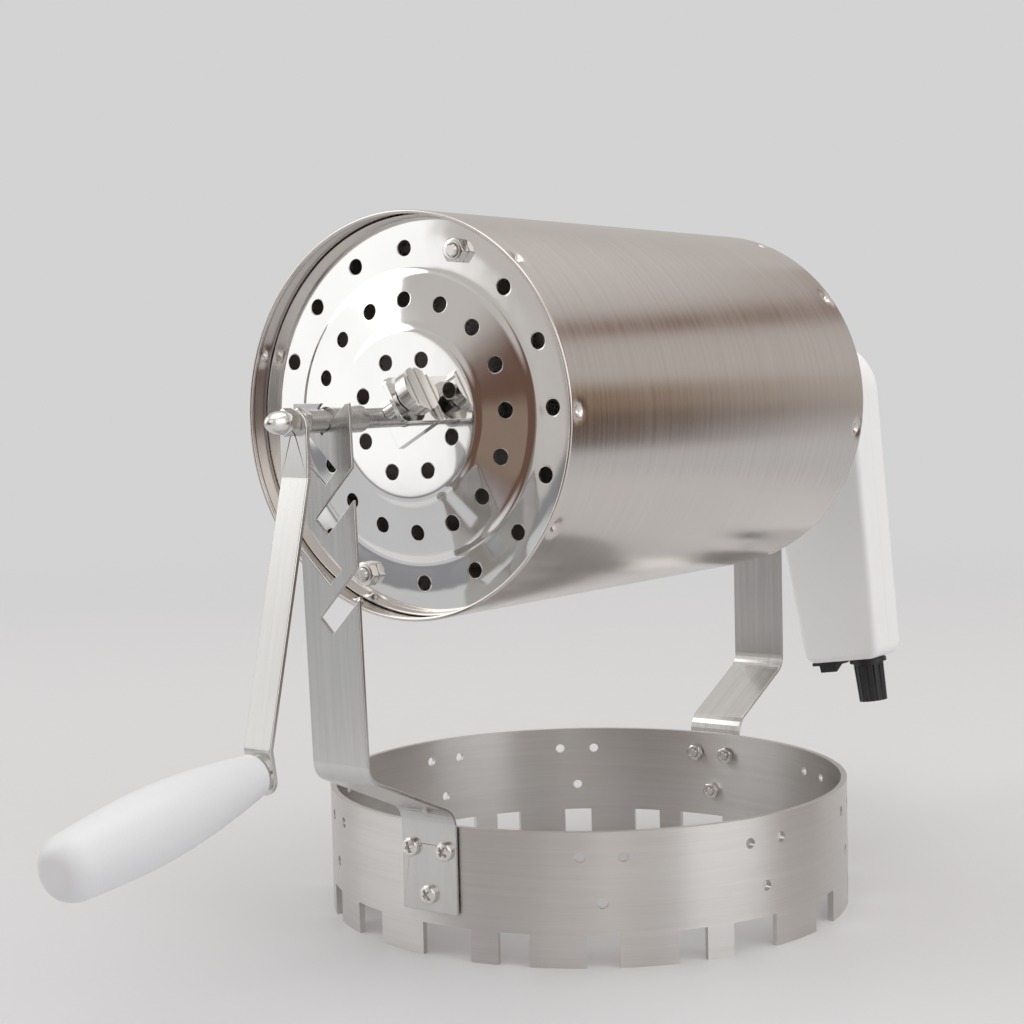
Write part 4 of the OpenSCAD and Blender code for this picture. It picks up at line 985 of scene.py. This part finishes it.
def with_openings(faces, points):
    """Leaves out the faces at the bottom where the knob's bush and the switch pass."""
    middle = points.reshape(-1, 3)[faces].mean(axis=1)
    keep = np.ones(len(faces), bool)
    for at, half, deep in (BUSH, SWITCH):
        inside = (np.abs(middle[:, 0] - at) < half) & (np.abs(middle[:, 1] - SPLIT_Y) < deep)
        keep &= ~(inside & (middle[:, 2] < BOTTOM_BAND - DRIVE_DROP))
    return faces[keep].tolist()


def finish_shell(name, node, points, faces, facing):
    """Leans a shell's points, places them on the drum's axis and gives the skin its walls."""
    points = about_y(points, DRIVE_LEAN) + np.array([0, 0, AXIS_Z])
    shell = piece(name, "drive_unit", "white_housing", [node], [(points, faces)], facing=facing)
    add_walls(shell, SHELL_T)
    break_edges(shell, SHELL_BREAK)
    crisp(shell, SHELL_CRISP)


def build_front_shell():
    """Rows of outlines to the handle's face, pushed out to the barrel, then the barrel and its face."""
    barrel_y = box_mm("drive_front_shell")[0][1]
    handle_y = 2 * SPLIT_Y - BACK_Y
    coupling_low, coupling_high = box_mm("drive_coupling")
    hole = (coupling_high[0] - coupling_low[0]) / 2 + COUPLING_GAP
    rows = []
    for inset, y in shell_rows(handle_y, -1):
        flat = outline(inset)
        away = np.linalg.norm(flat, axis=1, keepdims=True)
        rows.append(at_depth(flat * np.maximum(1, BARREL_FRONT_R / away), y))
    way = outline(EDGE_ROUND)
    way = way / np.linalg.norm(way, axis=1, keepdims=True)
    lip = arc((BARREL_FRONT_R - LIP_R, barrel_y + LIP_R), LIP_R, 0, -90, LIP_STEPS)
    for r, y in [(BARREL_FRONT_R, handle_y), *lip, (hole, barrel_y)]:
        rows.append(at_depth(way * r, y))
    points = np.array(rows)
    faces = with_openings(quads(len(rows), points.shape[1]), points)
    finish_shell("housing_front", "drive_front_shell", points, faces, (0, -1, 0))


def build_rear_shell():
    """Rows of outlines to the back, closed by a flat face with a round hole over each screw."""
    points = np.array([at_depth(outline(inset), y) for inset, y in shell_rows(BACK_Y, 1)])
    faces = with_openings(quads(len(points), points.shape[1]), points)
    last = 360 - 360 / HOLE_COLUMNS
    holes = [at_depth(arc(at, SCREW_HOLE_R, 0, last, HOLE_COLUMNS - 1), BACK_Y) for at in SCREW_AT]
    loops = [points[-1]] + holes
    cap = tessellate_polygon([[Vector((x, z, 0)) for x, _, z in loop] for loop in loops])
    points, faces = join([(points, faces), (np.concatenate(loops), cap)])
    finish_shell("housing_rear", "drive_rear_shell", points, faces, (0, 1, 0))


build_front_shell()
build_rear_shell()

# %% [markdown]
# ## The grip
# The grip is a turned piece of white plastic that spins on a spindle in the crank's arm: a straight
# taper with a belly on it, which is the sine of the share of its length, a small radius at the neck
# and a long elliptical end. A profile turned about an axis is all it needs. The photograph shows no
# joint round the plug, so grip and plug are one smooth surface here.

# %% Grip
GRIP_AT = (-164.0, 72.0)
GRIP_FALL, GRIP_L, GRIP_FROM = 9.5, 76.0, 2.7
NECK_D, GRIP_D, FAR_D = 13.0, 20.6, 18.54
NECK_ROUND, NECK_STEPS, NECK_END, END_ROUND = 3.0, 8, -6, 7.5
BORE_R, BORE_BREAK, HEAD_DEEP = 2.58, 0.3, 7.4
PLUG_R, PLUG_H, END_FLAT_R = 4.55, 3.0, 4.0
GRIP_COLUMNS, GRIP_ROWS, END_ROWS, GRIP_POLE_R = 96, 40, 17, 0.01


def grip_radius(share):
    """Half of a straight taper plus a belly that follows a sine."""
    belly = (2 * GRIP_D - NECK_D - FAR_D) / 4
    return (NECK_D + (FAR_D - NECK_D) * share) / 2 + belly * np.sin(math.pi * share)


def grip_profile():
    """The closed loop of the grip from its bore, round the neck, along the side and round the end."""
    share = np.linspace(0, 1, GRIP_ROWS)[1:-1]
    along = NECK_ROUND + (GRIP_L - NECK_ROUND - END_ROUND) * share
    quarter = np.radians(np.linspace(0, 90, END_ROWS))
    end_r = END_FLAT_R + (FAR_D / 2 - END_FLAT_R) * np.cos(quarter)
    return np.concatenate([
        [[BORE_R, GRIP_L - HEAD_DEEP], [BORE_R, BORE_BREAK], [BORE_R + BORE_BREAK, 0]],
        arc((NECK_D / 2 - NECK_ROUND, NECK_ROUND), NECK_ROUND, -90, NECK_END, NECK_STEPS),
        np.column_stack([grip_radius(share), along]),
        np.column_stack([end_r, GRIP_L - END_ROUND * (1 - np.sin(quarter))]),
        [[END_FLAT_R / 2, GRIP_L], [GRIP_POLE_R, GRIP_L], [GRIP_POLE_R, GRIP_L - PLUG_H]],
        [[PLUG_R, GRIP_L - PLUG_H], [PLUG_R, GRIP_L - HEAD_DEEP]],
    ])


def on_grip(points):
    """From the grip's own frame, whose axis points along +Y, to the shared frame."""
    fall = math.radians(GRIP_FALL)
    along = points[..., 1] + GRIP_FROM
    y = GRIP_AT[0] - along * math.cos(fall) - points[..., 2] * math.sin(fall)
    z = GRIP_AT[1] - along * math.sin(fall) + points[..., 2] * math.cos(fall)
    return np.stack([points[..., 0], y, z], -1)


def build_grip():
    """The profile turned about its axis, with a fall to the grip's end."""
    points = on_grip(revolve(grip_profile(), GRIP_COLUMNS))
    faces = quads(len(points), GRIP_COLUMNS, close_rows=True)
    crisp(piece("grip_turned", "grip", "white_grip", ["grip", "grip_plug"], [(points, faces)]))


build_grip()

# %% [markdown]
# ## Carried pieces
# Ring, legs, shaft, arm, knob and all that the housing holds keep their CAD meshes, because their
# flats and bends are true there. Such a mesh is loose triangles, and modifiers dress it without
# touching it: Weld joins the triangles, Bevel breaks the sharp edges of legs, arm and lock bracket as
# a tumbling drum or a file would, and Edge Split keeps the flats crisp while round faces shade smoothly.

# %% Dress the CAD nodes
FINISH_CHANGES = {"front_leg": "brushed_strip", "rear_leg": "brushed_strip", "crank_arm": "brushed_strip",
                  "lock_bracket": "polished_plate"}
EDGE_BREAK = {"front_leg": 0.2, "rear_leg": 0.2, "crank_arm": 0.25, "lock_bracket": 0.15}
WELD, CAD_EDGE, CAD_CRISP = 0.002, 40, 32


def dress(node):
    """Gives a CAD node its finish, and broken edges where EDGE_BREAK names a width."""
    obj = nodes[node]
    obj.data.materials.clear()
    obj.data.materials.append(finishes[FINISH_CHANGES.get(node, slot_of(node))])
    weld = obj.modifiers.new("weld", "WELD")
    weld.merge_threshold = WELD * MM
    if node in EDGE_BREAK:
        break_edges(obj, EDGE_BREAK[node], CAD_EDGE)
    crisp(obj, CAD_CRISP)


for name in nodes:
    dress(name)
print(len(nodes), "nodes dressed")
